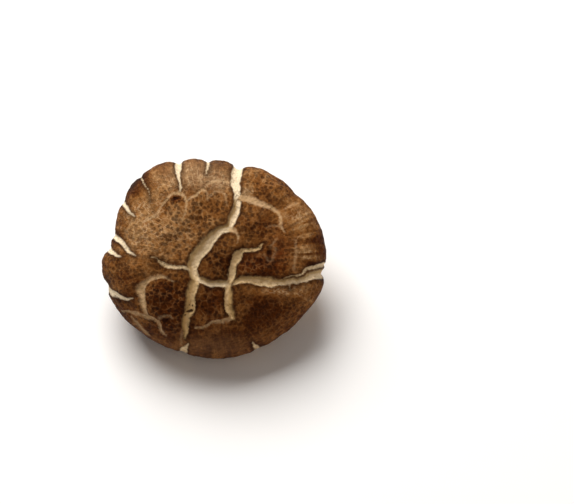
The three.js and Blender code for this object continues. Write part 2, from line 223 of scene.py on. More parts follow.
FISSURES: dict[str, Fissure] = {
    "top_right": Fissure(
        (
            (5.6, 24, 1.6), (5.4, 21, 2.2), (5.2, 18, 2.1), (5.1, 16, 1.8), (5.4, 14.2, 1.4),
            (5.7, 12.6, 1.4),
        ),
        pale=(1.0, 0.85), depth=0.35, shoulder=0.1,
    ),
    "diagonal": Fissure(
        (
            (5.7, 12.6, 1.4), (5.2, 11, 1.6), (4.5, 9.6, 1.7), (4.1, 8, 1.6), (3.2, 6.7, 1.5),
            (1.6, 5.9, 1.9), (0.1, 4.9, 2.4), (-1.2, 3.3, 2.8), (-2.7, 1.5, 3), (-4.1, -0.5, 2.9),
            (-4.4, -2.6, 2.2), (-3.7, -4.5, 1.6),
        ),
        pale=(0.8, 0.45), lean=0.55,
    ),
    "hook": Fissure(
        ((3.6, 6.6, 1), (4.8, 6, 0.9), (5.5, 5, 0.8), (5.4, 3.2, 0.3)),
        pale=(0.2, 0.0), depth=0.6, strength=0.8,
    ),
    "left_leg": Fissure(
        (
            (-3.7, -4.5, 1.6), (-4.3, -6, 2), (-4.8, -7.6, 2.2), (-4.9, -9.4, 2.1), (-5, -11, 2),
            (-5.6, -12.8, 1.7), (-6, -14.4, 1.7), (-6.1, -16, 1.2), (-6.5, -17.4, 0.4),
        ),
        pale=(0.25, 0.05), lean=0.35,
    ),
    "middle": Fissure(
        ((-3.7, -4.4, 1.2), (-2.2, -5.2, 1.4), (-0.6, -5.8, 1.4), (1, -5.6, 1.3), (3.2, -5.4, 1.4)),
        pale=(0.65, 0.75), lean=-0.3,
    ),
    "right_leg": Fissure(
        (
            (3.2, -5.4, 1.6), (3.1, -7, 1.8), (3.1, -8.6, 1.9), (3.4, -10.4, 1.9), (3.9, -12, 1.6),
            (4.2, -13.2, 1.2),
        ),
        pale=(0.3, 0.1), lean=-0.1,
    ),
    "foot": Fissure(
        (
            (4.2, -13.2, 1), (2.2, -13.8, 0.9), (0.4, -14.1, 0.8), (-1.2, -14.7, 0.7), (-3, -15.3, 0.6),
            (-4, -15, 0.3),
        ),
        pale=(0.2, 0.1), depth=0.7, strength=0.8,
    ),
    "arm": Fissure(
        (
            (3.2, -5.4, 1.3), (3.9, -3.4, 1.6), (4.3, -1.6, 1.5), (5.1, 0, 1.8), (6.2, 1.5, 1.2),
            (7.6, 1.8, 0.8), (9.2, 2, 0.7), (10.6, 3.3, 0.4),
        ),
        pale=(0.35, 0.15),
    ),
    "right_rim": Fissure(
        (
            (4.6, -5.1, 0.9), (7, -4.9, 1.7), (9.4, -4.9, 1.9), (12, -5.2, 1.9), (14.6, -5.3, 1.5),
            (17, -5.1, 1.2), (19.4, -4.6, 1.3), (21.6, -4, 1.7), (23.6, -3.5, 2), (25.6, -3.3, 1.9),
            (28, -3.2, 1.3),
        ),
        pale=(0.25, 0.85), lean=-0.45, depth=0.8, shoulder=0.25,
    ),
    "right_strand": Fissure(
        (
            (15.4, -4.3, 0.3), (17, -4, 0.4), (18.6, -3.5, 0.5), (20.6, -2.6, 0.7), (22.6, -1.9, 0.9),
            (24.6, -1.4, 0.9), (26.8, -1.2, 0.5),
        ),
        pale=(0.3, 0.8), depth=0.6,
    ),
    "upper_right": Fissure(
        (
            (6, 13.2, 1.5), (7.6, 13.1, 1.6), (9.2, 12.7, 1.6), (10.8, 12, 1.5), (12.6, 11.3, 1.2),
            (14.2, 10.3, 0.9), (14.6, 8.6, 0.8), (14.7, 6.8, 0.7), (15.6, 5.8, 0.4),
        ),
        pale=(0.3, 0.05), depth=0.35, strength=0.78,
    ),
    "left_arm": Fissure(
        (
            (-3.9, -3.9, 1), (-5.2, -2.7, 0.9), (-6.8, -2.2, 0.9), (-8.4, -1.9, 0.9), (-10, -1.6, 0.7),
            (-12, -0.5, 0.5), (-13.6, 0.4, 0.3),
        ),
        pale=(0.65, 0.35), depth=0.6, strength=0.95,
    ),
    "hoop": Fissure(
        (
            (-8.8, -5.2, 0.3), (-10.4, -4.4, 0.5), (-12.2, -4, 0.7), (-14, -4.5, 0.9), (-15.4, -5.6, 1.3),
            (-16, -7.2, 1.5), (-15.8, -9, 1.1), (-15.4, -10.8, 0.9), (-14.9, -12.5, 0.8),
        ),
        pale=(0.35, 0.2), lean=0.4, depth=0.8, strength=0.85,
    ),
    "lower_left": Fissure(
        (
            (-20.4, -11.7, 0.4), (-18.4, -12, 0.6), (-16.6, -12.3, 0.7), (-14.8, -12.9, 0.8),
            (-13.2, -13.6, 0.9), (-12.2, -14.8, 0.9), (-11.4, -16, 0.6), (-10.4, -16.8, 0.3),
        ),
        pale=(0.1, 0.15), depth=0.7, strength=0.8,
    ),
    "left_flank": Fissure(
        ((-18.4, -12.9, 0.3), (-17.2, -14.2, 0.6), (-15.8, -15.8, 0.6), (-14.2, -17.2, 0.3)),
        pale=(0.2, 0.1), depth=0.6, strength=0.7,
    ),
    "left_rim": Fissure(
        (
            (-26.2, -4.6, 0.9), (-24.6, -5.6, 0.9), (-23.4, -7.1, 1), (-21.8, -8.2, 1), (-20, -8.8, 0.7),
            (-17.8, -8.9, 0.1),
        ),
        pale=(1.0, 0.8), depth=0.5, shoulder=0.2,
    ),
    "left_rim_middle": Fissure(
        ((-26, 3.6, 1.1), (-24, 2.6, 1.2), (-22.8, 1.6, 1), (-21.8, 0.8, 0.6), (-20.4, 0.2, 0.1)),
        pale=(1.0, 0.9), depth=0.5, shoulder=0.2,
    ),
    "left_rim_upper": Fissure(
        (
            (-25, 7.4, 0.8), (-22.4, 5, 1), (-20.8, 3.9, 1.1), (-19.5, 2.7, 0.9), (-18.6, 1.6, 0.6),
            (-17.2, 0.7, 0.1),
        ),
        pale=(1.0, 0.8), depth=0.5, shoulder=0.2,
    ),
    "upper_left": Fissure(
        ((-22.4, 14, 0.8), (-20.4, 12.4, 0.8), (-19.4, 11.2, 0.8), (-18.4, 10, 0.5), (-17.2, 9, 0.1)),
        pale=(1.0, 0.85), depth=0.5, shoulder=0.2,
    ),
    "upper_left_thin": Fissure(
        ((-18.2, 19.4, 0.2), (-16, 17.6, 0.3), (-15.2, 16.1, 0.3), (-14.5, 14.6, 0.3), (-13.8, 12.6, 0.1)),
        pale=(0.8, 0.4), depth=0.8,
    ),
    "top_left": Fissure(
        (
            (-8.6, 25.4, 1), (-8, 22, 1.4), (-7.8, 19.8, 1.1), (-7.7, 17.8, 0.8), (-7.4, 16, 0.5),
            (-7.2, 14.6, 0.3),
        ),
        pale=(1.0, 0.7), depth=0.5, shoulder=0.25,
    ),
    "top_middle": Fissure(
        ((-1.2, 24.6, 0.7), (-1.3, 21.6, 0.65), (-1.3, 20, 0.45), (-1.5, 18.2, 0.1)),
        pale=(0.9, 0.6), depth=0.5, shoulder=0.2,
    ),
    "arch": Fissure(
        (
            (-15.4, 8, 0.3), (-13.6, 9.2, 0.6), (-12, 10.6, 0.6), (-10.9, 12.2, 0.6), (-9.8, 13.8, 0.7),
            (-8.4, 14.5, 0.8), (-6.9, 14.1, 0.8), (-6.1, 12.8, 0.7), (-6.1, 11, 0.5), (-6.5, 8.6, 0.3),
        ),
        pale=(0.1, 0.1), depth=0.3, strength=0.8,
    ),
    "top_ridge": Fissure(
        (
            (-6, 12.6, 0.4), (-5, 13.5, 0.6), (-3.8, 14.2, 0.7), (-2.4, 14.8, 0.7), (-1.4, 14.4, 0.5),
            (-1.2, 13.2, 0.3),
        ),
        pale=(0.1, 0.1), depth=0.3, strength=0.8,
    ),
    "top_arc": Fissure(
        ((-2, 15.6, 0.2), (-1.2, 16.4, 0.5), (0, 17.1, 0.7), (1.6, 17.25, 0.6), (3.8, 17, 0.4)),
        pale=(0.1, 0.3), depth=0.3, strength=0.8,
    ),
    "bottom_left": Fissure(
        ((-5.8, -18.8, 0.6), (-6.8, -20.6, 1.9), (-7.6, -23.6, 1.6)),
        pale=(0.45, 0.45), depth=0.15, shoulder=0.0, strength=0.92,
    ),
    "bottom_right": Fissure(
        ((8.4, -18.6, 0.5), (9.5, -19.9, 1.2), (10.8, -23, 1.2)),
        pale=(0.45, 0.45), depth=0.15, shoulder=0.0, strength=0.92,
    ),
    "top_faint": Fissure(
        ((-2.9, 18.5, 0.2), (-2.95, 17.4, 0.4), (-3, 16.2, 0.2)),
        pale=(0.7, 0.5), depth=0.4, strength=0.72,
    ),
    "top_loop": Fissure(
        (
            (-1.2, 13, 0.3), (-0.5, 14, 0.5), (0.8, 14.7, 0.5), (2.1, 14.2, 0.5), (2.8, 12.9, 0.4),
            (2.9, 11.6, 0.2),
        ),
        pale=(0.0, 0.0), depth=0.2, strength=0.62,
    ),
    "right_line": Fissure(
        ((18.1, 3.8, 0.3), (18.3, 1.5, 0.5), (18, -0.5, 0.5), (17.8, -2.6, 0.3)),
        pale=(0.0, 0.0), depth=0.2, strength=0.55,
    ),
    "right_fork": Fissure(
        ((14.9, 6.8, 0.3), (13.8, 7.1, 0.3), (12.8, 7, 0.3), (11.8, 6.6, 0.2)),
        pale=(0.0, 0.0), depth=0.2, strength=0.45,
    ),
    "right_notch": Fissure(
        ((15.6, 11, 0.2), (16.3, 11.2, 0.4), (17.6, 11.7, 0.5), (18.6, 12.2, 0.4)),
        pale=(0.3, 0.4), depth=0.3, strength=0.6,
    ),
    "right_spur": Fissure(
        ((16.7, -5.6, 0.5), (16.8, -6.8, 0.3)),
        pale=(0.4, 0.2), depth=0.5,
    ),
    "right_thread_1": Fissure(
        ((13.8, 4, 0.2), (13, 3, 0.25), (12.6, 2.3, 0.2)),
        pale=(0.0, 0.0), depth=0.2, strength=0.45,
    ),
    "right_thread_2": Fissure(
        ((11.2, 0.9, 0.2), (12, 0, 0.25), (12.6, -0.7, 0.2)),
        pale=(0.0, 0.0), depth=0.2, strength=0.45,
    ),
    "right_thread_3": Fissure(
        ((13.4, 2.4, 0.2), (13.5, 1.2, 0.25), (13.3, 0.2, 0.25), (12.9, -0.5, 0.2)),
        pale=(0.0, 0.0), depth=0.2, strength=0.45,
    ),
    "left_stroke": Fissure(
        ((-16.9, 10.8, 0.2), (-16.5, 10, 0.3), (-16, 9.2, 0.2)),
        pale=(0.4, 0.3), depth=0.3, strength=0.6,
    ),
    "hoop_arc": Fissure(
        (
            (-12, -13.5, 0.4), (-11.3, -12.8, 0.4), (-10.5, -12.5, 0.4), (-9.5, -12.7, 0.4),
            (-8.9, -13.2, 0.2),
        ),
        pale=(0.1, 0.0), depth=0.3, strength=0.55,
    ),
    "leg_thread": Fissure(
        ((-7, -16, 0.2), (-7.4, -17.4, 0.3), (-7.3, -18.8, 0.3)),
        pale=(0.1, 0.1), depth=0.3, strength=0.5,
    ),
}


@dataclass(frozen=True)
class Patch:
    """A region of the cap whose colour differs, as a bell over an ellipse seen along the cap's axis.

    Attributes:
        at: Its middle.
        half: Its half sizes along x and y.
        tone: How much lighter it is, or darker if negative.
        warmth: How much redder it is, or greyer if negative.
        speckle: How much more mottled it is, or smoother if negative.
    """

    at: tuple[float, float]
    half: tuple[float, float]
    tone: float = 0.0
    warmth: float = 0.0
    speckle: float = 0.0

    def bell(self, x: Array, y: Array) -> Array:
        """How much a place belongs to the region.

        Args:
            x: Places seen along the axis.
            y: The same, up the slope.

        Returns:
            The exponential of minus the squared distance from the middle in half sizes.
        """
        away_x = (x - self.at[0]) / self.half[0]
        away_y = (y - self.at[1]) / self.half[1]
        return np.exp(-(away_x**2) - away_y**2)


PATCHES: tuple[Patch, ...] = (
    Patch((-8, 6), (8, 7), tone=0.16, speckle=0.4),
    Patch((-15.5, 11), (5, 7), tone=0.2, speckle=-0.6),
    Patch((-4, 19), (9, 3.8), tone=0.18, warmth=-0.7, speckle=-0.45),
    Patch((-19, -4), (4, 5), tone=-0.08, warmth=-0.1),
    Patch((12, 18), (6, 4), tone=0.08, warmth=0.2, speckle=0.2),
    Patch((10, 8.5), (4.5, 3.8), tone=-0.14, warmth=0.15, speckle=0.1),
    Patch((9.5, -1.5), (5.5, 3), tone=-0.28, warmth=0.3, speckle=0.2),
    Patch((15, 2), (3, 4), warmth=0.6, speckle=0.1),
    Patch((20, 5), (4, 9), tone=0.15, speckle=-0.4),
    Patch((1, 0), (4, 4), tone=-0.14, speckle=0.2),
    Patch((-10.5, -9), (5, 4.6), tone=-0.27, warmth=0.1, speckle=0.3),
    Patch((-0.5, -10), (3.2, 4), tone=-0.24, warmth=0.1, speckle=0.2),
    Patch((-9, -15), (4, 2.5), tone=-0.15, warmth=0.1, speckle=0.2),
    Patch((11, -11.5), (6, 4), tone=-0.26, warmth=0.2, speckle=-0.2),
    Patch((15, -7.2), (6, 1.2), tone=0.32, warmth=0.3, speckle=-0.4),
    Patch((0, -19.5), (13, 4), tone=-0.13, warmth=-0.35, speckle=-0.6),
    Patch((-8.3, 13.2), (1.3, 1.0), tone=-0.35, warmth=0.5),
    Patch((-2.5, 11), (5, 2.8), tone=0.03, speckle=0.25),
    Patch((-10, 9.5), (3.5, 4), tone=-0.04, speckle=0.3),
    # painted shade: a dark patch on the upper left rim, where the lobes turn under
    Patch((-18.2, 16.2), (3.2, 3.2), tone=-0.5, warmth=-0.1, speckle=-0.1),
    Patch((24.6, 4), (1.5, 8), tone=-0.25, warmth=0.4),
    Patch((9.2, 15.6), (4, 1.8), tone=-0.05, warmth=0.2, speckle=0.1),
    Patch((-15, 1), (4, 2.5), tone=0.07, speckle=-0.3),
    Patch((14, 9.5), (4, 1.5), tone=0.12, speckle=-0.4),
    Patch((1.8, 16.6), (4, 1.8), tone=0.16, warmth=-0.4, speckle=-0.2),
    Patch((-9, 16), (4.5, 2), tone=0.1, warmth=-0.1),
    Patch((6.2, 4), (2.2, 2.2), tone=0.12),
    Patch((-18, 4.5), (2.5, 2.5), tone=0.16),
    Patch((-14.5, -3.5), (2.5, 1.8), tone=0.14),
    Patch((7, 14.4), (1.9, 1.5), tone=0.42, warmth=-0.6, speckle=-0.6),
    Patch((17.5, 10.5), (3, 3), tone=0.03, speckle=-0.3),
)


PITS: tuple[Patch, ...] = (
    Patch((-5.4, -12.1), (0.75, 0.35)),
    Patch((-4.7, -11.9), (0.3, 0.25)),
    Patch((-5.2, -10.6), (0.25, 0.15)),
    Patch((-4.5, -10.9), (0.15, 0.25)),
    Patch((-5.7, -11.2), (0.2, 0.15)),
    Patch((-4.9, -9.9), (0.12, 0.18)),
    Patch((-6.2, -12.9), (0.3, 0.2)),
    Patch((-10.6, -13.7), (0.9, 0.55)),
    Patch((-8.3, 13.3), (0.9, 0.5)),
    Patch((12.4, 1.2), (0.7, 0.9)),
)


@dataclass(frozen=True)
class CapForm:
    """The cap's form: its lobed outline, its dome, and the margin that rolls in to the lip.

    Attributes:
        rim_step: Degrees between two radii of the outline.
        rim_radii: Radii of the outline, anticlockwise from the right.
        notches: Where the outline is pinched in: degrees, depth and half width in degrees.
        limb_height: The cap's widest level.
        dome_height: From the widest level to the crown.
        dome_power: 2 is an ellipse, and more is flatter on top with rounder shoulders.
        crown_slope: How the crown is heaped towards the left and the front.
        flank_inset: How far the flank curls inwards down to its lowest level.
        lip_inset: How much further the lip goes, up to where the gills begin.
        lip_height: Level of the lip.
        lump_height: Height of soft lumps all over.
        waves: Number of waves round the margin.
        wave_height: Their height.
        wave_low_at: Degrees, the middle of a lobe that dips.
    """

    rim_step: float = 15.0
    rim_radii: tuple[float, ...] = (
        25.0, 24.6, 23.9, 23.1, 22.6, 21.6, 21.8, 22.9, 24.2, 24.6, 24.0, 23.3,
        24.9, 25.0, 24.3, 23.3, 22.6, 22.1, 22.4, 22.4, 22.5, 22.8, 23.8, 24.9,
    )
    notches: tuple[tuple[float, float, float], ...] = (
        (-6, 0.4, 4), (38, 0.5, 3.5), (75, 0.8, 4.5), (93.5, 0.5, 3), (110, 0.6, 4), (132, 0.3, 3),
        (148, 0.3, 3.5), (167, 0.5, 3), (174, 0.9, 3.5), (194, 0.5, 3.5), (251, 0.2, 3.5), (296, 0.2, 3.5),
    )
    limb_height: float = 7.0
    dome_height: float = 12.5
    dome_power: float = 2.3
    crown_slope: tuple[float, float] = (-0.06, -0.08)
    flank_inset: float = 3.6
    lip_inset: float = 2.3
    lip_height: float = 2.6
    lump_height: float = 0.3
    waves: int = 5
    wave_height: float = 1.1
    wave_low_at: float = 234.0

    def rim_radius(self, angle: Array) -> Array:
        """The outline's radius: a periodic cubic through the given radii, less a bell at each notch.

        Args:
            angle: Angles round the axis, in radians.

        Returns:
            The radii in millimetres.
        """
        degrees = np.degrees(angle) % 360.0
        place = degrees / self.rim_step
        before = np.floor(place).astype(int)
        t = place - before
        radii = np.array(self.rim_radii)
        r0, r1, r2, r3 = (radii[(before + k) % len(radii)] for k in (-1, 0, 1, 2))
        bend = 2 * r0 - 5 * r1 + 4 * r2 - r3
        radius = r1 + 0.5 * t * (r2 - r0 + t * (bend + t * (3 * (r1 - r2) + r3 - r0)))
        for at, depth, half in self.notches:
            radius = radius - depth * bump_at((degrees - at + 180.0) % 360.0 - 180.0, 0.0, half)
        return radius

    def wave(self, angle: Array) -> Array:
        """Height of the margin's waves: a cosine of the angle from a low lobe."""
        return -self.wave_height * np.cos(self.waves * (angle - np.radians(self.wave_low_at)))

    def lumps(self, x: Array, y: Array) -> Array:
        """Height of the soft lumps.

        Args:
            x: Places seen along the axis.
            y: The same, up the slope.

        Returns:
            The product of a slow wave along x and one along y, and a quicker wave aslant, times the height.
        """
        slow = np.sin(0.42 * x + 0.9) * np.sin(0.38 * y + 0.4)
        aslant = np.sin(0.75 * x - 0.6 * y)
        return self.lump_height * (slow + 0.6 * aslant)

    def surface(self, angle: Array, reach: Array) -> tuple[Array, Array]:
        """The smooth skin, from the crown over the widest level and the flank to the lip.

        The dome is a superellipse of revolution over the outline, heaped and lumpy. The flank and the lip
        are each a quarter of an ellipse, and the margin's waves grow down the flank.

        Args:
            angle: Angles round the axis.
            reach: 0 at the crown, 1 at the widest level, 2 at the lowest level and 3 at the lip.

        Returns:
            The points, and each point's place seen along the axis with the margin rolled out flat.
        """
        rim = self.rim_radius(angle)
        share = np.sin(np.clip(reach, 0.0, 1.0) * np.pi / 2)
        x = share * rim * np.cos(angle)
        y = share * rim * np.sin(angle)
        rise = np.maximum(1.0 - share**self.dome_power, 0.0) ** (1.0 / self.dome_power)
        heap = (self.crown_slope[0] * x + self.crown_slope[1] * y) * (1.0 - share**2)
        dome = self.limb_height + (self.dome_height + self.lumps(x, y)) * rise + heap
        down = np.clip(reach - 1.0, 0.0, 1.0) * np.pi / 2
        back = np.clip(reach - 2.0, 0.0, 1.0) * np.pi / 2
        inset = self.flank_inset * (1.0 - np.cos(down)) + self.lip_inset * np.sin(back)
        level = self.limb_height * (1.0 - np.sin(down)) + self.lip_height * (1.0 - np.cos(back))
        level = level + self.wave(angle) * np.sin(down)
        on_dome = reach <= 1.0
        points = around(angle, np.where(on_dome, share * rim, rim - inset), np.where(on_dome, dome, level))
        flat = np.where(on_dome, share * rim, rim + self.limb_height * (reach - 1.0))
        return points, around(angle, flat, 0.0)[..., :2]


@dataclass(frozen=True)
class Placement:
    """Where the mushroom lies.

    Attributes:
        tilt: How far the cap leans forward, in degrees.
        origin: The cap frame's origin in the part's frame.
    """

    tilt: float = 30.0
    origin: tuple[float, float, float] = (0.0, 3.34, 8.7)

    def place(self, points: Array) -> Array:
        """Turns points of the cap's frame about x, moves them, and lifts what is below the ground up to it.

        Args:
            points: Places in the cap's frame, in millimetres.

        Returns:
            The places in the part's frame, in metres.
        """
        c, s = np.cos(np.radians(self.tilt)), np.sin(np.radians(self.tilt))
        turn = np.array([[1.0, 0.0, 0.0], [0.0, c, -s], [0.0, s, c]])
        placed = points @ turn.T + np.array(self.origin)
        placed[..., 2] = np.maximum(placed[..., 2], 0.0)
        return placed * METRES


def add_object(name: str, data: bpy.types.ID) -> bpy.types.Object:
    """Puts a mesh, a light or a camera into the scene.

    Args:
        name: The object's name.
        data: What it shows.

    Returns:
        The new object, at the scene's origin.
    """
    made = bpy.data.objects.new(name, data)
    bpy.context.scene.collection.objects.link(made)
    return made


@dataclass
class Surface:
    """A closed surface as points and faces, with numbers and directions kept at its points.

    Attributes:
        name: The piece's name.
        points: Its vertices.
        quads: Faces of four corners.
        triangles: Faces of three corners.
        values: Numbers kept at each vertex, by name.
        streaks: Places in a stretched space, so that noise read there runs in streaks along the surface.
    """

    name: str
    points: Array
    quads: Array
    triangles: Array
    values: dict[str, Array]
    streaks: Array

    def build(self) -> bpy.types.Object:
        """Puts the surface into a mesh, smooth shaded, at the scene's origin.

        Returns:
            The new object.
        """
        mesh = bpy.data.meshes.new(self.name)
        corners = np.concatenate([self.quads.ravel(), self.triangles.ravel()]).astype(np.int32)
        sides = np.repeat([4, 3], [len(self.quads), len(self.triangles)])
        starts = (np.cumsum(sides) - sides).astype(np.int32)
        mesh.vertices.add(len(self.points))
        mesh.vertices.foreach_set("co", self.points.astype(np.float32).ravel())
        mesh.loops.add(len(corners))
        mesh.loops.foreach_set("vertex_index", corners)
        mesh.polygons.add(len(starts))
        mesh.polygons.foreach_set("loop_start", starts)
        mesh.update(calc_edges=True)
        mesh.polygons.foreach_set("use_smooth", np.ones(len(starts), bool))
        for name, numbers in self.values.items():
            kept = mesh.attributes.new(name, "FLOAT", "POINT")
            kept.data.foreach_set("value", numbers.astype(np.float32).ravel())
        kept = mesh.attributes.new("streak", "FLOAT_VECTOR", "POINT")
        kept.data.foreach_set("vector", self.streaks.astype(np.float32).ravel())
        return add_object(self.name, mesh)


def grid_quads(index: Array) -> Array:
    """Faces between neighbours in a grid of indices.

    Args:
        index: The indices, a row of the grid in each row.

    Returns:
        Four indices a face, anticlockwise when the rows go up and the columns go anticlockwise.
    """
    corners = [index[:-1, :-1], index[:-1, 1:], index[1:, 1:], index[1:, :-1]]
    return np.stack(corners, axis=-1).reshape(-1, 4)


def strip_quads(rows: int, columns: int) -> Array:
    """Faces between rows of points whose last column meets the first.

    Args:
        rows: Number of rows.
        columns: Points in each row.

    Returns:
        Four indices a face, in the same order as in a grid.
    """
    index = np.arange(rows * columns).reshape(rows, columns)
    return grid_quads(np.concatenate([index, index[:, :1]], axis=1))


def fan(ring: Array, hub: int) -> Array:
    """Triangles from each edge of a ring of indices to a hub."""
    return np.stack([ring, np.roll(ring, -1), np.full(len(ring), hub)], axis=-1)


@dataclass
class CapSkin:
    """The cap's skin: a square grid laid over the cap like a cloth, and closed inside the flesh.

    Attributes:
        form: The cap's form.
        placement: Where it lies.
        cells: Grid cells along each side.
        dome_share: How much of the grid's radius covers the dome.
        flank_share: And how much more covers the flank.
        groove_depth: Depth of a fissure as a share of its width.
        groove_deepest: The greatest depth.
        near: How far from its path a fissure marks the skin.
        blend: How near two fissures have to be for their colours to blend.
        shoulder_fall: How far from a fissure its shoulder has fallen to 1/e.
        wander: How far the fissures stray from their paths, near the crown and near the margin.
        wander_pitch: Distance between two turns of that straying.
        wrinkle_height: Height of the wrinkles across the margin.
        wrinkle_pitch: Distance between two wrinkles.
        plates: Height and pitch of the lumps of the plates.
        scales: Height and pitch of the finer lumps.
        flesh: Height and pitch of the lumps in the fissures.
        pit_depth: Depth of the pits.
        tone: How light the skin is where no patch changes it, from 0 to 1.
        speckle: How mottled it is there.
        flesh_level: Level at which the piece is closed, above the gills.
    """

    form: CapForm
    placement: Placement
    cells: int = 306
    dome_share: float = 0.7
    flank_share: float = 0.19
    groove_depth: float = 0.42
    groove_deepest: float = 0.8
    near: float = 4.0
    blend: float = 0.18
    shoulder_fall: float = 0.9
    wander: tuple[float, float] = (0.36, 0.16)
    wander_pitch: float = 2.1
    wrinkle_height: float = 0.4
    wrinkle_pitch: float = 1.5
    plates: tuple[float, float] = (0.16, 2.6)
    scales: tuple[float, float] = (0.08, 0.9)
    flesh: tuple[float, float] = (0.08, 0.7)
    pit_depth: float = 0.45
    tone: float = 0.42
    speckle: float = 0.75
    flesh_level: float = 9.5

    def grid(self) -> tuple[Array, Array]:
        """The angle and reach of each grid point: the concentric map of a square onto a disc.

        In each quarter of the square the larger coordinate is the disc's radius, and the smaller one
        divided by it is the share of an eighth of a turn from that quarter's middle.

        Returns:
            The angles and reaches, each as a square array.
        """
        side = np.linspace(-1.0, 1.0, self.cells + 1)
        u, v = np.meshgrid(side, side)
        flat = np.abs(u) >= np.abs(v)
        radius = np.where(flat, u, v)
        over = np.where(flat, v, u) / np.where(radius == 0.0, 1.0, radius) * (np.pi / 4)
        angle = np.where(flat, over, np.pi / 2 - over) + np.where(radius < 0.0, np.pi, 0.0)
        flank_end = self.dome_share + self.flank_share
        reach = np.interp(np.abs(radius), [0.0, self.dome_share, flank_end, 1.0], [0.0, 1.0, 2.0, 3.0])
        return angle, reach

    @staticmethod
    def nearest(path: Array, x: Array, y: Array) -> tuple[Array, Array, Array, Array]:
        """Where each point stands to the length of a path that is nearest to it.

        The distance from a length, less half the width there, is the distance to the fissure's edge.

        Args:
            path: Points (x, y, width).
            x: Places of the points seen along the axis.
            y: The same, up the slope.

        Returns:
            The distance to the edge; the width there; how far across the point is, from -1 at the right
            edge to 1 at the left one; and how far along, from 0 to 1.
        """
        gap = np.full(x.shape, 9.0)
        width = np.ones(x.shape)
        across = np.zeros(x.shape)
        along = np.zeros(x.shape)
        for i, (start, end) in enumerate(zip(path[:-1], path[1:])):
            step = end[:2] - start[:2]
            t = ((x - start[0]) * step[0] + (y - start[1]) * step[1]) / (step @ step)
            t = np.clip(t, 0.0, 1.0)
            dx = x - start[0] - t * step[0]
            dy = y - start[1] - t * step[1]
            wide = start[2] + t * (end[2] - start[2])
            away = np.hypot(dx, dy)
            closer = away - wide / 2 < gap
            gap = np.where(closer, away - wide / 2, gap)
            width = np.where(closer, wide, width)
            across = np.where(closer, np.sign(step[0] * dy - step[1] * dx) * away / (wide / 2), across)
            along = np.where(closer, (i + t) / (len(path) - 1), along)
        return gap, width, across, along

    def cracks(self, x: Array, y: Array) -> dict[str, Array]:
        """How the fissures mark each point.

        The nearest edge, the deepest floor and the highest shoulder count. The other numbers are blended
        over all fissures, by how far inside each of them a point is. A floor is a quarter of a sine wave up
        from each edge.

        Args:
            x: Places of the points seen along the axis.
            y: The same, up the slope.

        Returns:
            The distance to the nearest edge, negative inside; the depth; the shoulder; the paleness; the
            side, from -1 at the right of the path to 1 at its left; the strength; and how soft the edge is.
        """
        edge = np.full(x.shape, self.near)
        depth = np.zeros(x.shape)
        shoulder = np.zeros(x.shape)
        least = 1e-9  # a weight that keeps the blend from dividing by nothing far from every fissure
        weights = np.full(x.shape, least)
        blended = {name: np.zeros(x.shape) for name in ("pale", "side", "strength", "soft")}
        blended["soft"] += 0.1 * least
        for fissure in FISSURES.values():
            path = fissure.smooth_path()
            low = path[:, :2].min(axis=0) - self.near
            high = path[:, :2].max(axis=0) + self.near
            near = (x > low[0]) & (x < high[0]) & (y > low[1]) & (y < high[1])
            gap, width, across, along = self.nearest(path, x[near], y[near])
            inside = np.clip(across, -1.0, 1.0)
            rising = (inside + 1.0) / (fissure.lean + 1.0)
            falling = (1.0 - inside) / (1.0 - fissure.lean)
            floor = np.sin(np.minimum(rising, falling) * np.pi / 2) ** 0.8
            full = np.minimum(self.groove_deepest, self.groove_depth * width) * fissure.depth
            fall = np.exp(-np.maximum(gap, 0.0) / self.shoulder_fall)
            shelf = fissure.shoulder * np.clip(width / 1.5, 0.0, 1.0) * fall
            edge[near] = np.minimum(edge[near], gap)
            depth[near] = np.maximum(depth[near], full * floor * (gap < 0.0))
            shoulder[near] = np.maximum(shoulder[near], shelf)
            weight = np.exp(-np.clip(gap, -3.0, 6.0) / self.blend)
            weights[near] += weight
            slant = np.sign(fissure.lean)
            far = np.clip(-inside * slant, 0.0, 1.0)
            numbers = {
                "pale": fissure.pale[0] + along * (fissure.pale[1] - fissure.pale[0]),
                "side": inside * slant,
                "strength": fissure.strength,
                "soft": 0.85 - 0.63 * fissure.strength + 0.25 * far,
            }
            for name, number in numbers.items():
                blended[name][near] += weight * number
        shares = {name: total / weights for name, total in blended.items()}
        return {"edge": edge, "depth": depth, "shoulder": shoulder, **shares}

    def normals(self, points: Array) -> Array:
        """The surface's directions at a grid of its points.

        Args:
            points: The points, a row of the grid in each row.

        Returns:
            The cross product of the two central differences at each point, made one long.
        """
        out = np.cross(np.gradient(points, axis=1), np.gradient(points, axis=0))
        return out / np.maximum(np.linalg.norm(out, axis=-1, keepdims=True), 1e-12)

    def surface(self) -> Surface:
        """The skin, with fissures, plates, wrinkles and pits as lifts along the smooth skin's normal.

        Returns:
            The closed surface in the part's frame.
        """
        angle, reach = self.grid()
        smooth, flat = self.form.surface(angle, reach)
        stray = np.stack([Lattice(seed).relief(smooth, self.wander_pitch, 3) for seed in (5, 6)], axis=-1)
        near_crown, near_margin = self.wander
        amount = near_crown - (near_crown - near_margin) * ease(reach, 0.6, 0.9)
        crack = self.cracks(*np.moveaxis(flat + amount[..., None] * stray, -1, 0))
        open_skin = ease(crack["edge"], -0.1, 0.5)

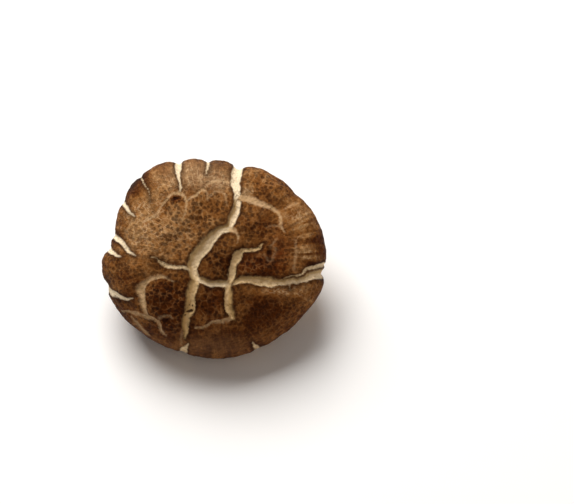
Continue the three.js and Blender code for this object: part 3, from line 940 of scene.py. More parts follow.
        margin = ease(reach, 0.95, 1.7)
        turning = around(angle, PATTERN_RADIUS, 1.1 * reach)
        wrinkle = (1.0 - 2.0 * np.abs(Lattice(11).relief(turning, self.wrinkle_pitch, 2))) * margin
        plates, scales, flesh = (
            height * Lattice(seed).relief(smooth, pitch, 2)
            for seed, (height, pitch) in ((3, self.plates), (4, self.scales), (9, self.flesh))
        )
        pit = np.clip(sum(spot.bell(flat[..., 0], flat[..., 1]) for spot in PITS), 0.0, 1.0)
        lift = (
            -crack["depth"]
            - crack["shoulder"]
            + (plates + scales) * open_skin
            + flesh * (1.0 - open_skin)
            + self.wrinkle_height * wrinkle * (0.35 + 0.65 * open_skin)
            - self.pit_depth * pit
        )
        lip_end = ease(reach, 3.0, 2.7)
        points = smooth + self.normals(smooth) * (lift * lip_end)[..., None]

        size = self.cells + 1
        index = np.arange(size * size).reshape(size, size)
        border = np.concatenate([index[0, :-1], index[:-1, -1], index[-1, :0:-1], index[:0:-1, 0]])
        rim = points.reshape(-1, 3)[border]
        inside = np.column_stack([rim[:, :2], np.full(len(border), self.flesh_level)])
        top = size * size + np.arange(len(border))
        wall = np.stack([np.roll(border, -1), border, top, np.roll(top, -1)], axis=-1)
        centre = np.array([[0.0, 0.0, self.flesh_level]])
        streaks = around(angle, PATTERN_RADIUS, 1.4 * reach).reshape(-1, 3)
        values = {**self.looks(crack, smooth, reach), **self.colours(flat, angle, reach)}
        values.update({"pit": pit, "wrinkle": wrinkle, "margin": margin})
        return Surface(
            name="cap",
            points=self.placement.place(np.vstack([points.reshape(-1, 3), inside, centre])),
            quads=np.vstack([grid_quads(index), wall]),
            triangles=fan(top[::-1], size * size + len(border)),
            values={
                name: np.concatenate([value.ravel(), value.ravel()[border], value.ravel()[:1]])
                for name, value in values.items()
            },
            streaks=np.vstack([streaks, streaks[border], centre]),
        )

    def looks(self, crack: dict[str, Array], smooth: Array, reach: Array) -> dict[str, Array]:
        """What the finish needs to know of the fissures, whose flesh turns tan and faint down the flank.

        Args:
            crack: How the fissures mark each point.
            smooth: Places on the smooth skin.
            reach: How far each point is from the crown.

        Returns:
            The edge, paleness, side, strength and softness at each point.
        """
        healed = ease(reach, 1.1, 1.9) * (0.75 + 0.5 * Lattice(15).relief(smooth, 1.6, 2))
        looks = {name: crack[name] for name in ("edge", "pale", "side", "strength", "soft")}
        looks["pale"] = looks["pale"] * (1.0 - 0.7 * healed)
        looks["strength"] = looks["strength"] * (1.0 - 0.3 * healed)
        return looks

    def colours(self, flat: Array, angle: Array, reach: Array) -> dict[str, Array]:
        """The skin's tone, warmth and speckle: the sum of the patches, with the margin smoother and greyer.

        Streaks run across the margin, most of all at the right, and the outline is a little darker, as
        painted shade where the cap turns under.

        Args:
            flat: Places seen along the axis with the margin rolled out.
            angle: Angles round the axis.
            reach: How far each point is from the crown.

        Returns:
            The three numbers at each point.
        """
        x, y = flat[..., 0], flat[..., 1]
        numbers = {
            "tone": np.full(x.shape, self.tone),
            "warmth": np.zeros(x.shape),
            "speckle": np.full(x.shape, self.speckle),
        }
        for patch in PATCHES:
            bell = patch.bell(x, y)
            for name, number in numbers.items():
                number += getattr(patch, name) * bell
        streaks = around(angle, PATTERN_RADIUS, 1.6 * reach)
        right_rim = Patch((21.5, 2.5), (3.5, 6)).bell(x, y)
        numbers["tone"] += 0.15 * Lattice(13).relief(streaks, 1.1, 2) * ease(reach, 0.55, 0.85)
        numbers["tone"] += 0.34 * Lattice(14).relief(streaks, 0.5) * right_rim
        # painted shade: a dark band round the widest level, where the cap turns under
        numbers["tone"] -= 0.16 * bump_at(reach, 1.02, 0.14)
        margin = ease(reach, 1.0, 1.8)
        numbers["tone"] += margin * (0.1 + 0.2 * ease(y, -8.0, 12.0))
        numbers["warmth"] -= margin * 0.4
        numbers["speckle"] = np.clip(numbers["speckle"] - margin * 0.5, 0.0, 1.0)
        return numbers


@dataclass
class GillBlades:
    """The gills: one disc raised by formula into blades of four lengths, closed inside the flesh.

    Attributes:
        form: The cap's form.
        placement: Where it lies.
        gills: Number of blades of all lengths.
        starts: Radii where four neighbouring blades begin.
        columns: Grid columns for each blade.
        rings: Grid rings from the stem to the lip.
        depth: Depth of a full blade.
        edge_height: Level of the blades' edges halfway to the stem.
        inner_radius: Where the blades end inside the stem.
        overlap: How far they run into the lip.
        flesh_level: How far up the piece reaches into the cap.
    """

    form: CapForm
    placement: Placement
    gills: int = 180
    starts: tuple[float, ...] = (4.0, 14.5, 10.0, 13.8)
    columns: int = 8
    rings: int = 64
    depth: float = 1.5
    edge_height: float = 4.8
    inner_radius: float = 4.0
    overlap: float = 0.9
    flesh_level: float = 9.0

    def surface(self) -> Surface:
        """The blades: a level between them, less a thin ridge for each that starts at its own radius.

        Every fourth blade is full, the one between two of those is half as long, and the others are short.
        The ridge is a raised cosine to the third power, and the blades wander sideways and have ragged
        edges.

        Returns:
            The closed surface in the part's frame.
        """
        count = self.gills * self.columns
        angle = (np.arange(count) / count * 2 * np.pi)[None, :]
        share = np.linspace(0.0, 1.0, self.rings)[:, None]
        outer = self.form.rim_radius(angle) - self.form.flank_inset - self.form.lip_inset + self.overlap
        radius = self.inner_radius + share * (outer - self.inner_radius)
        blade = np.round(angle / (2 * np.pi) * self.gills).astype(int) % self.gills
        started = ease(radius - np.array(self.starts)[blade % len(self.starts)], 0.0, 2.5)
        ridge = (0.5 + 0.5 * np.cos(angle * self.gills)) ** 3 * started
        place = around(angle, 20.0, 0.25 * radius)
        ragged = Lattice(21).relief(place, 0.8, 2)
        full = self.depth * (0.35 + 0.65 * ease(radius, 5.0, 9.0)) * (1.0 + 0.16 * ragged)
        inward = np.minimum(1.0, 1.15 * (1.0 - radius / outer) + 0.03)
        edge = self.form.lip_height + (self.edge_height - self.form.lip_height) * np.sin(np.pi * inward)
        level = edge + self.depth - full * ridge + self.form.wave(angle) * share**3
        wander = 0.22 / radius * np.sin(0.7 * radius + 5.0 * angle) + 0.02 * Lattice(23).relief(place, 1.7, 2)
        points = around(angle + wander, radius, level)
        roof = around(angle, outer, self.flesh_level)
        hubs = [[0, 0, level[0].mean()], [0, 0, self.flesh_level]]
        first = np.arange(count)
        last = self.rings * count + first
        hub = (self.rings + 1) * count
        ridges = np.concatenate([ridge, np.zeros((1, count))])
        reach = np.concatenate([share * np.ones_like(angle), np.ones((1, count))])
        streaks = np.concatenate([place, place[-1:]])
        return Surface(
            name="gills",
            points=self.placement.place(np.vstack([points.reshape(-1, 3), roof[0], hubs])),
            quads=strip_quads(self.rings + 1, count)[:, ::-1],
            triangles=np.vstack([fan(first, hub), fan(last[::-1], hub + 1)])[:, ::-1],
            values={"ridge": np.append(ridges, [0.0, 0.0]), "reach": np.append(reach, [0.0, 1.0])},
            streaks=np.vstack([streaks.reshape(-1, 3), np.zeros((2, 3))]),
        )


@dataclass
class StemBody:
    """The stem: rings round a bent centre line, with fibres, a furrow along its front, and a cut end.

    Attributes:
        placement: Where it lies.
        sections: Points (x, y, z, half width across, half width along the slope) of the centre line.
        sides: Points round each ring.
        rings: Rings along the stem.
        end_rings: Rings over the cut end.
        fibre_height: Height of the fibres.
        furrow: Depth and half angle, in degrees, of the furrow.
        end_bulge: How far the cut end bulges.
        end_roughness: How uneven it is.
    """

    placement: Placement
    sections: tuple[tuple[float, float, float, float, float], ...] = (
        (0, 0.2, 9, 7.6, 7.0), (0, 0.4, 5.2, 7.0, 6.4), (0.1, 0.9, 3.2, 5.9, 5.3), (0.3, 2.2, 0, 5.4, 4.7),
        (0.6, 3.9, -4, 5.2, 4.5), (1.0, 5.7, -8, 5.3, 4.6), (1.3, 6.8, -10.2, 5.4, 4.7),
        (1.4, 7.2, -11.2, 4.8, 4.1),
    )
    sides: int = 220
    rings: int = 110
    end_rings: int = 12
    fibre_height: float = 0.3
    furrow: tuple[float, float] = (0.8, 26.0)
    end_bulge: float = 0.35
    end_roughness: float = 0.22

    def surface(self) -> Surface:
        """The stem's skin: an ellipse round each point of the centre line, lifted by streaks along it.

        The furrow is a bell round the front times half a sine wave along the stem. The cut end is the last
        ring shrunk to its middle, with a bulge of a quarter circle and rough noise.

        Returns:
            The closed surface in the part's frame.
        """
        given = np.array(self.sections, float)
        length = length_along(given, 3)
        at = np.linspace(0.0, length[-1], self.rings)
        line = smooth_line(given, length, at)
        along = np.gradient(line[:, :3], axis=0)
        along /= np.linalg.norm(along, axis=1, keepdims=True)
        across = np.array([1.0, 0.0, 0.0]) - along * along[:, :1]
        across /= np.linalg.norm(across, axis=1, keepdims=True)
        up_slope = np.cross(along, across)
        turn = (np.arange(self.sides) / self.sides * 2 * np.pi)[None, :]
        whole = (at / length[-1])[:, None]
        bent = around(turn, 5.0, 0.16 * at[:, None])
        coarse = Lattice(31).relief(bent, 1.5, 2)
        fine = 1.0 - 2.0 * np.abs(Lattice(33).relief(bent, 0.7, 2))
        front = bump_at(turn, 1.5 * np.pi, np.radians(self.furrow[1]))
        lift = self.fibre_height * (0.9 * coarse + 0.35 * fine)
        lift = lift - self.furrow[0] * front * np.sin(whole * np.pi)
        side = (
            line[:, None, :3]
            + across[:, None] * ((line[:, 3:4] + lift) * np.cos(turn))[..., None]
            + up_slope[:, None] * ((line[:, 4:5] + lift) * np.sin(turn))[..., None]
        )
        shrink = np.cos(np.linspace(0.0, np.pi / 2, self.end_rings + 1)[1:-1])[:, None, None]
        middle = line[-1, :3]
        rough = Lattice(35).relief(side[-1], 1.3, 2)[None, :, None]
        bulge = self.end_bulge * np.sqrt(1.0 - shrink**2) + self.end_roughness * rough * shrink
        end = middle + (side[-1] - middle) * shrink + bulge * along[-1]
        points = np.concatenate([side, end])
        hubs = [line[0, :3], middle + self.end_bulge * along[-1]]
        first = np.arange(self.sides)
        last = (len(points) - 1) * self.sides + first
        hub = len(points) * self.sides
        ends = np.ones((len(end), self.sides))
        values = {
            "along": np.concatenate([whole * np.ones_like(turn), ends]),
            "fibre": np.concatenate([fine, 0.3 * ends]),
            "cut": np.concatenate([np.zeros_like(fine), ends]),
        }
        return Surface(
            name="stem",
            points=self.placement.place(np.vstack([points.reshape(-1, 3), hubs])),
            quads=strip_quads(len(points), self.sides),
            triangles=np.vstack([fan(first[::-1], hub), fan(last, hub + 1)]),
            values={
                name: np.append(value.ravel(), [value[0, 0], value[-1, -1]]) for name, value in values.items()
            },
            streaks=np.vstack([np.concatenate([bent, end]).reshape(-1, 3), hubs]),
        )


def linear(red: int, green: int, blue: int) -> tuple[float, float, float, float]:
    """A colour for a shader.

    Args:
        red: As seen on a screen, from 0 to 255.
        green: The same.
        blue: The same.

    Returns:
        The light that it stands for, from 0 to 1, by the curve that screens follow, and full cover.
    """
    shares = (red / 255.0, green / 255.0, blue / 255.0)
    light = [s / 12.92 if s <= 0.04045 else ((s + 0.055) / 1.055) ** 2.4 for s in shares]
    return (light[0], light[1], light[2], 1.0)


Colour = tuple[float, float, float, float]
Value = Socket | float | tuple[float, ...]


@dataclass
class Shading:
    """Adds nodes to one tree, each with its inputs given as sockets or plain values.

    Attributes:
        tree: The material's or node group's tree.
    """

    tree: bpy.types.NodeTree

    def put(self, socket: Socket, value: Value) -> None:
        """Links a socket to another, or sets its plain value.

        Args:
            socket: The input.
            value: Another node's output, or a number, a colour or a place.
        """
        if isinstance(value, Socket):
            self.tree.links.new(value, socket)
        else:
            socket.default_value = value

    def node(self, kind: str, inputs: dict[str | int, Value] | None = None, **settings: object) -> Node:
        """Adds a node, and sets its properties and then its inputs.

        Args:
            kind: The node's type.
            inputs: What its inputs are given, by name or number.
            settings: Its properties, by name.

        Returns:
            The node.
        """
        made = self.tree.nodes.new(kind)
        for name, setting in settings.items():
            setattr(made, name, setting)
        for key, value in (inputs or {}).items():
            self.put(made.inputs[key], value)
        return made

    def math(self, operation: str, first: Value, *others: Value) -> Socket:
        """A sum on one number, or on a number and others in turn.

        Args:
            operation: The kind of sum.
            first: The first number.
            others: The numbers that follow.

        Returns:
            The result.
        """
        inputs = dict(enumerate((first, *others[:1])))
        result = self.node("ShaderNodeMath", inputs, operation=operation).outputs[0]
        return self.math(operation, result, *others[1:]) if len(others) > 1 else result

    def plus(self, *numbers: Value) -> Socket:
        """The numbers added up."""
        return self.math("ADD", *numbers)

    def times(self, *numbers: Value) -> Socket:
        """The numbers multiplied."""
        return self.math("MULTIPLY", *numbers)

    def spread(self, number: Value, amount: Value) -> Socket:
        """A number round a half, less the half, times an amount."""
        return self.times(self.math("SUBTRACT", number, 0.5), amount)

    def from_half(self, number: Value) -> Socket:
        """How far a number is from a half."""
        return self.math("ABSOLUTE", self.math("SUBTRACT", number, 0.5))

    def span(
        self, value: Value, low: float, high: float, to_low: float = 0.0, to_high: float = 1.0
    ) -> Socket:
        """A number eased from one range into another, and held at its ends.

        Args:
            value: The number.
            low: Where the first range starts, which may be above its end.
            high: Where it ends.
            to_low: Where the second range starts.
            to_high: Where it ends.

        Returns:
            The number in the second range.
        """
        inputs = {"Value": value, "From Min": low, "From Max": high, "To Min": to_low, "To Max": to_high}
        return self.node("ShaderNodeMapRange", inputs, interpolation_type="SMOOTHSTEP").outputs["Result"]

    def mix(self, share: Value, a: Value, b: Value) -> Socket:
        """Two colours mixed.

        Args:
            share: How much of the second one.
            a: The first colour.
            b: The second one.

        Returns:
            The mixed colour.
        """
        made = self.node("ShaderNodeMix", {"Factor": share, 6: a, 7: b}, data_type="RGBA", clamp_factor=True)
        return made.outputs[2]

    def ramp(self, value: Value, stops: tuple[tuple[float, Colour], ...]) -> Socket:
        """A colour picked along a row of colours.

        Args:
            value: Where along the row, from 0 to 1.
            stops: Each colour, after its place in the row.

        Returns:
            The colour.
        """
        made = self.node("ShaderNodeValToRGB", {"Fac": value})
        elements = made.color_ramp.elements
        while len(elements) < len(stops):
            elements.new(1.0)
        for element, (at, colour) in zip(elements, stops):
            element.position = at
            element.color = colour
        return made.outputs["Color"]

    def kept(self, name: str) -> Socket:
        """A number kept at the mesh's points."""
        return self.node("ShaderNodeAttribute", attribute_name=name).outputs["Fac"]

    def streak_place(self) -> Socket:
        """The place in the stretched space, kept at the mesh's points."""
        return self.node("ShaderNodeAttribute", attribute_name="streak").outputs["Vector"]

    def scaled(self, place: Value, factor: Value) -> Socket:
        """A place times a factor."""
        return self.node("ShaderNodeVectorMath", {0: place, "Scale": factor}, operation="SCALE").outputs[0]

    def millimetres(self) -> Socket:
        """The place on the object, in millimetres."""
        return self.scaled(self.node("ShaderNodeTexCoord").outputs["Object"], 1.0 / METRES)

    def noise(
        self, place: Value, pitch: float, detail: float = 2.0, roughness: float = 0.5, output: str = "Fac"
    ) -> Socket:
        """Smooth noise from 0 to 1.

        Args:
            place: Where it is read.
            pitch: The size of its lumps, in the place's own units.
            detail: How many finer noises are added.
            roughness: How strong each is to the one before.
            output: Which output is used: Fac for a number, or Color for three.

        Returns:
            The noise.
        """
        inputs = {"Vector": place, "Scale": 1.0 / pitch, "Detail": detail, "Roughness": roughness}
        return self.node("ShaderNodeTexNoise", inputs).outputs[output]

    def cells(self, place: Value, pitch: float, feature: str = "F1") -> Socket:
        """How far a place is from a cell's middle or edge, in cells.

        Args:
            place: Where it is read.
            pitch: The size of the cells.
            feature: F1 for the nearest middle, or DISTANCE_TO_EDGE for the edge between two cells.

        Returns:
            The distance.
        """
        inputs = {"Vector": place, "Scale": 1.0 / pitch}
        return self.node("ShaderNodeTexVoronoi", inputs, feature=feature).outputs["Distance"]

    def shaken(self, place: Value, pitch: float, amount: float) -> Socket:
        """A place moved about by noise, so that what is read there gets ragged.

        Args:
            place: The place.
            pitch: The size of the noise's lumps.
            amount: How far it moves the place.

        Returns:
            The moved place.
        """
        half = (0.5, 0.5, 0.5)
        noise = self.noise(place, pitch, output="Color")
        centred = self.node("ShaderNodeVectorMath", {0: noise, 1: half}, operation="SUBTRACT").outputs[0]
        inputs = {0: place, 1: self.scaled(centred, amount)}
        return self.node("ShaderNodeVectorMath", inputs, operation="ADD").outputs[0]

    def group(self, tree: bpy.types.NodeTree, **inputs: Value) -> Node:
        """Places a node group.

        Args:
            tree: The group's tree.
            inputs: Its own values, by name.

        Returns:
            The group's node.
        """
        given = {name.capitalize(): value for name, value in inputs.items()}
        return self.node("ShaderNodeGroup", given, node_tree=tree)

    def dress(
        self, shader: Node, colour: Value, roughness: Value, height: Value, bump: tuple[float, float]
    ) -> None:
        """Gives a shader what changes over the surface.

        Args:
            shader: The Principled BSDF.
            colour: The surface's colour.
            roughness: Its roughness.
            height: Its finest relief.
            bump: How high that relief is, in metres, and how strongly it shows.
        """
        relief = self.node("ShaderNodeBump", {"Distance": bump[0], "Strength": bump[1], "Height": height})
        self.put(shader.inputs["Base Color"], colour)
        self.put(shader.inputs["Roughness"], roughness)
        self.put(shader.inputs["Normal"], relief.outputs["Normal"])


@dataclass
class Effects:
    """Effects that several finishes share, each a node group that is built once.

    Attributes:
        grain: Fine pores and specks.
        fibre: Fibres along the surface.
    """

    grain: bpy.types.NodeTree | None = None
    fibre: bpy.types.NodeTree | None = None

    def build(self) -> "Effects":
        """Builds both groups.

        Returns:
            The effects themselves.
        """
        self.grain = self.grain_group()
        self.fibre = self.fibre_group()
        return self

    @staticmethod
    def open_group(name: str, *outputs: str) -> tuple[Shading, Socket, Node]:
        """Starts a group with a place and a pitch as its inputs.

        Args:
            name: The group's name.
            outputs: Names of its outputs, all numbers.

        Returns:
            The group's shading, the place divided by the pitch, and the node that puts the outputs out.
        """
        tree = bpy.data.node_groups.new(name, "ShaderNodeTree")
        tree.interface.new_socket("Place", in_out="INPUT", socket_type="NodeSocketVector")
        pitch = tree.interface.new_socket("Pitch", in_out="INPUT", socket_type="NodeSocketFloat")
        pitch.default_value = 1.0
        for output in outputs:
            tree.interface.new_socket(output, in_out="OUTPUT", socket_type="NodeSocketFloat")
        shading = Shading(tree)
        given = shading.node("NodeGroupInput")
        per_pitch = shading.math("DIVIDE", 1.0, given.outputs["Pitch"])
        return shading, shading.scaled(given.outputs["Place"], per_pitch), shading.node("NodeGroupOutput")

    def grain_group(self) -> bpy.types.NodeTree:
        """Fine pores and specks: noise at a pitch, and specks where a finer noise is highest.

        Returns:
            The group's tree.
        """
        shading, place, put_out = self.open_group("grain", "Relief", "Specks")
        shading.put(put_out.inputs["Relief"], shading.noise(place, 1.0, 4.0, 0.6))
        shading.put(put_out.inputs["Specks"], shading.span(shading.noise(place, 0.6), 0.56, 0.7))
        return shading.tree

    def fibre_group(self) -> bpy.types.NodeTree:
        """Fibres along the surface: sharp valleys of noise that is read in the stretched space.

        Returns:
            The group's tree.
        """
        shading, place, put_out = self.open_group("fibre", "Relief", "Valleys")
        relief = shading.noise(place, 1.0, 3.0, 0.55)
        shading.put(put_out.inputs["Relief"], relief)
        shading.put(put_out.inputs["Valleys"], shading.span(shading.from_half(relief), 0.0, 0.07, 1.0, 0.0))
        return shading.tree


def new_material(name: str) -> tuple[bpy.types.Material, Shading, Node]:
    """A material with a Principled BSDF.

    Args:
        name: The material's name.

    Returns:
        The material, its shading and its shader.
    """
    material = bpy.data.materials.new(name)
    material.use_nodes = True
    shader = next(n for n in material.node_tree.nodes if n.type == "BSDF_PRINCIPLED")
    return material, Shading(material.node_tree), shader


@dataclass(frozen=True)
class SkinFinish:
    """Dried skin: dark mottled plates, lighter between, with cream and tan flesh in the fissures.

    Attributes:
        tones: Colours from the darkest plates to the lightest skin.
        net: The fine light lines between the blotches.
        thread: The pale threads that wander over the lighter skin, and flesh that shows only faintly.
        speck: The colour of the dark blotches.
        reddish: What warm regions tend to.
        greyish: What grey regions tend to.
        cream: Flesh at the rim.
        tan: Flesh near the crown.
        shade: Painted shade on the far wall of a fissure, and the colour of the flesh's mottles and specks.
        roughness: Of the skin and of its blotches.
        specular: How much the skin shines.
        bump: Height of the finest relief, in metres, and its strength.
    """

    tones: tuple[tuple[float, Colour], ...] = (
        (0.0, linear(38, 11, 0)),
        (0.25, linear(84, 40, 5)),
        (0.5, linear(137, 88, 41)),
        (0.75, linear(182, 137, 87)),
        (1.0, linear(214, 174, 126)),
    )
    net: Colour = linear(160, 116, 74)
    thread: Colour = linear(218, 180, 136)
    speck: Colour = linear(38, 11, 1)
    reddish: Colour = linear(116, 56, 18)
    greyish: Colour = linear(148, 118, 88)
    cream: Colour = linear(255, 236, 204)
    tan: Colour = linear(220, 182, 122)
    shade: Colour = linear(184, 148, 94)
    roughness: tuple[float, float] = (0.74, 0.62)
    specular: float = 0.05
    bump: tuple[float, float] = (0.00018, 0.9)

    def plates(self, shading: Shading, place: Socket, grain: Node) -> tuple[Socket, Socket, Socket]:
        """The skin's colour: a varied tone, a light net, pale threads, smudges and dark blotches.

        Args:
            shading: The material's shading.
            place: The place, in millimetres.
            grain: The node of the grain.

        Returns:
            The colour, where the blotches are, and how dark they are.
        """
        tone = shading.kept("tone")
        speckle = shading.kept("speckle")
        warmth = shading.kept("warmth")
        ragged = shading.shaken(shading.shaken(place, 1.1, 0.55), 0.45, 0.2)
        apart = shading.plus(
            shading.cells(ragged, 0.95), shading.spread(shading.noise(ragged, 0.42, 3.0, 0.6), 0.5)
        )
        patchy = shading.span(shading.noise(place, 1.7), 0.26, 0.46)
        dark = shading.times(shading.span(apart, 0.28, 0.64, 1.0, 0.0), patchy)
        lines = shading.span(shading.cells(ragged, 1.3, "DISTANCE_TO_EDGE"), 0.0, 0.16, 1.0, 0.0)
        broad = shading.noise(place, 3.4, 3.0, 0.55)
        varied = shading.plus(
            tone,
            shading.spread(broad, 0.55),
            shading.spread(grain.outputs["Relief"], 0.5),
            shading.times(lines, speckle, 0.08),
        )
        colour = shading.ramp(varied, self.tones)
        colour = shading.mix(shading.span(warmth, 0.0, 1.0, 0.0, 0.75), colour, self.reddish)
        colour = shading.mix(shading.span(warmth, 0.0, -0.9, 0.0, 0.6), colour, self.greyish)
        net_share = shading.times(lines, shading.span(broad, 0.38, 0.6, 0.06, 0.34), speckle)
        colour = shading.mix(net_share, colour, self.net)
        bare = shading.span(tone, 0.48, 0.66)
        wander = shading.noise(shading.shaken(place, 2.4, 1.6), 1.9, 2.0, 0.55)
        threads = shading.span(shading.from_half(wander), 0.0, 0.045, 1.0, 0.0)
        colour = shading.mix(shading.times(threads, bare, 0.55), colour, self.thread)
        smudge = shading.span(shading.noise(ragged, 0.8, 3.0, 0.6), 0.46, 0.3, 0.0, 0.6)
        colour = shading.mix(shading.times(smudge, bare), colour, self.reddish)
        dark_share = shading.times(dark, speckle, shading.span(tone, 0.2, 0.55, 0.9, 0.66))
        return shading.mix(dark_share, colour, self.speck), dark, dark_share

    def flesh(self, shading: Shading, place: Socket, specks: Socket) -> tuple[Socket, Socket, Socket]:
        """What shows in the fissures: tan to cream flesh, with painted shade on its far wall, mottled and
        specked.

        Args:
            shading: The material's shading.
            place: The place, in millimetres.
            specks: The specks of the grain.

        Returns:
            The flesh's colour, how much it covers, and how dark the skin is along its edge.
        """
        pale = shading.kept("pale")
        strength = shading.kept("strength")
        ragged_by = shading.spread(shading.noise(place, 0.5, 3.0), shading.span(pale, 0.5, 0.9, 0.6, 0.2))
        edge = shading.plus(shading.kept("edge"), ragged_by, shading.span(pale, 0.5, 0.9, 0.12, 0.0))
        within = shading.math("DIVIDE", edge, shading.kept("soft"))
        share = shading.times(shading.span(within, 1.0, -1.0), strength)
        plain = shading.span(strength, 0.8, 0.95)
        # painted shade: the far wall of each fissure is mixed towards the shade colour
        far_wall_shade = shading.times(shading.span(shading.kept("side"), 0.15, -0.5), 0.8, plain)
        colour = shading.mix(far_wall_shade, shading.mix(pale, self.tan, self.cream), self.shade)
        colour = shading.mix(plain, self.thread, colour)
        mottled = shading.span(shading.noise(place, 0.9, 4.0, 0.6), 0.45, 0.65, 0.0, 0.5)
        mottled = shading.times(mottled, shading.span(pale, 0.9, 0.3, 0.15, 1.0))
        colour = shading.mix(mottled, colour, self.shade)
        colour = shading.mix(shading.times(specks, 0.45), colour, self.shade)
        return colour, share, shading.times(shading.span(edge, 1.2, 0.1, 0.0, 0.7), plain)

    def build(self, effects: Effects) -> bpy.types.Material:
        """Builds the material.

        Args:
            effects: The shared node groups.

        Returns:
            The material.
        """
        material, shading, shader = new_material(Slot.SKIN.value)
        place = shading.millimetres()
        margin = shading.kept("margin")
        grain = shading.group(effects.grain, place=place, pitch=0.55)
        fibre = shading.group(effects.fibre, place=shading.streak_place(), pitch=0.55)
        colour, dark, dark_share = self.plates(shading, place, grain)
        flesh, flesh_share, dark_edge = self.flesh(shading, place, grain.outputs["Specks"])
        valleys = fibre.outputs["Valleys"]
        for share in (
            shading.times(shading.span(shading.kept("wrinkle"), 0.15, -0.5), margin, 0.75),
            shading.times(valleys, shading.span(margin, 0.0, 0.6, 0.2, 0.5)),
            shading.times(dark_edge, shading.span(margin, 0.6, 0.0)),
        ):
            colour = shading.mix(share, colour, self.speck)
        colour = shading.mix(flesh_share, colour, flesh)
        colour = shading.mix(shading.span(shading.kept("pit"), 0.3, 0.7, 0.0, 0.85), colour, self.speck)
        roughness = shading.span(dark_share, 0.0, 1.0, *self.roughness)
        sunk = (shading.times(dark, -0.9), shading.times(valleys, -0.3))
        height = shading.plus(grain.outputs["Relief"], *sunk)
        shading.dress(shader, colour, roughness, height, self.bump)
        shader.inputs["Specular IOR Level"].default_value = self.specular
        return material


@dataclass(frozen=True)
class GillFinish:
    """Golden gills, with ochre between the blades and a brown crease at the lip.

    Attributes:
        blade: The edges of the blades.
        between: The depth between them.
        crease: Next to the lip.
        near_stem: The pale ring round the stem.
        roughness: Of the lowest and of the highest grain.
        bump: Height of the finest relief, in metres, and its strength.
    """

    blade: Colour = linear(250, 216, 121)
    between: Colour = linear(240, 189, 82)
    crease: Colour = linear(184, 128, 50)
    near_stem: Colour = linear(238, 212, 158)
    roughness: tuple[float, float] = (0.55, 0.75)
    bump: tuple[float, float] = (0.0001, 0.6)

    def build(self, effects: Effects) -> bpy.types.Material:
        """Builds the material.

        Args:
            effects: The shared node groups.

        Returns:
            The material.
        """
        material, shading, shader = new_material(Slot.GILLS.value)
        grain = shading.group(effects.grain, place=shading.millimetres(), pitch=0.8)
        fibre = shading.group(effects.fibre, place=shading.streak_place(), pitch=0.9)
        reach = shading.kept("reach")
        colour = shading.mix(shading.span(shading.kept("ridge"), 0.0, 0.7), self.between, self.blade)
        colour = shading.mix(shading.times(fibre.outputs["Valleys"], 0.3), colour, self.crease)
        colour = shading.mix(shading.times(grain.outputs["Specks"], 0.12), colour, self.crease)
        colour = shading.mix(shading.span(reach, 0.86, 0.98), colour, self.crease)
        colour = shading.mix(shading.span(reach, 0.32, 0.12), colour, self.near_stem)
        roughness = shading.span(grain.outputs["Relief"], 0.0, 1.0, *self.roughness)
        shading.dress(shader, colour, roughness, fibre.outputs["Relief"], self.bump)
        return material


@dataclass(frozen=True)
class StemFinish:
    """Fibrous brown stem, pale at its root, with a lighter cut end.

    Attributes:
        root: The ring where it leaves the gills.
        brown: Its length.
        pale_fibre: The lighter fibres.
        dark: The valleys between its fibres.
        cut: The cut end.
        roughness: Of the lowest and of the highest grain.
        bump: Height of the finest relief, in metres, and its strength.
    """

    root: Colour = linear(216, 182, 124)
    brown: Colour = linear(134, 92, 58)
    pale_fibre: Colour = linear(182, 146, 104)
    dark: Colour = linear(64, 36, 20)
    cut: Colour = linear(196, 166, 120)
    roughness: tuple[float, float] = (0.6, 0.85)
    bump: tuple[float, float] = (0.00015, 0.8)

    def build(self, effects: Effects) -> bpy.types.Material:
        """Builds the material.

        Args:
            effects: The shared node groups.

        Returns:
            The material.
        """
        material, shading, shader = new_material(Slot.STEM.value)
        streak = shading.streak_place()
        grain = shading.group(effects.grain, place=shading.millimetres(), pitch=0.7)
        fine = shading.group(effects.fibre, place=streak, pitch=0.5)
        coarse = shading.group(effects.fibre, place=streak, pitch=1.6)
        relief, specks = grain.outputs["Relief"], grain.outputs["Specks"]
        colour = shading.mix(shading.span(coarse.outputs["Relief"], 0.35, 0.65), self.brown, self.pale_fibre)
        colour = shading.mix(shading.times(specks, 0.45), colour, self.dark)
        colour = shading.mix(shading.span(shading.kept("fibre"), 0.1, -0.6, 0.0, 0.6), colour, self.dark)
        ragged = shading.plus(shading.kept("along"), shading.spread(coarse.outputs["Relief"], 0.3))
        brown_share = shading.span(ragged, 0.26, 0.42)
        colour = shading.mix(brown_share, self.root, colour)
        valleys = shading.times(fine.outputs["Valleys"], shading.span(brown_share, 0.0, 1.0, 0.3, 0.7))
        colour = shading.mix(valleys, colour, self.dark)
        colour = shading.mix(shading.kept("cut"), colour, shading.mix(specks, self.cut, self.brown))
        roughness = shading.span(relief, 0.0, 1.0, *self.roughness)
        shading.dress(shader, colour, roughness, shading.plus(fine.outputs["Relief"], relief), self.bump)
        return material


@dataclass
class Mushroom:
    """The whole mushroom: three pieces that stand for the one grown body.

    Attributes:
        form: The cap's form.
        placement: Where it lies.
    """

    form: CapForm
    placement: Placement

    def build(self) -> list[bpy.types.Object]:
        """Builds and dresses the cap, the gills and the stem.

        Returns:
            The three pieces.
        """
        effects = Effects().build()
        makers = (
            (CapSkin(self.form, self.placement), SkinFinish(), Slot.SKIN),
            (GillBlades(self.form, self.placement), GillFinish(), Slot.GILLS),
            (StemBody(self.placement), StemFinish(), Slot.STEM),
        )
        pieces = []
        for maker, finish, slot in makers:
            piece = maker.surface().build()
            piece.data.materials.append(finish.build(effects))
            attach(piece, BODY)
            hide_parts(NODE)
            pieces.append(piece)
        return pieces


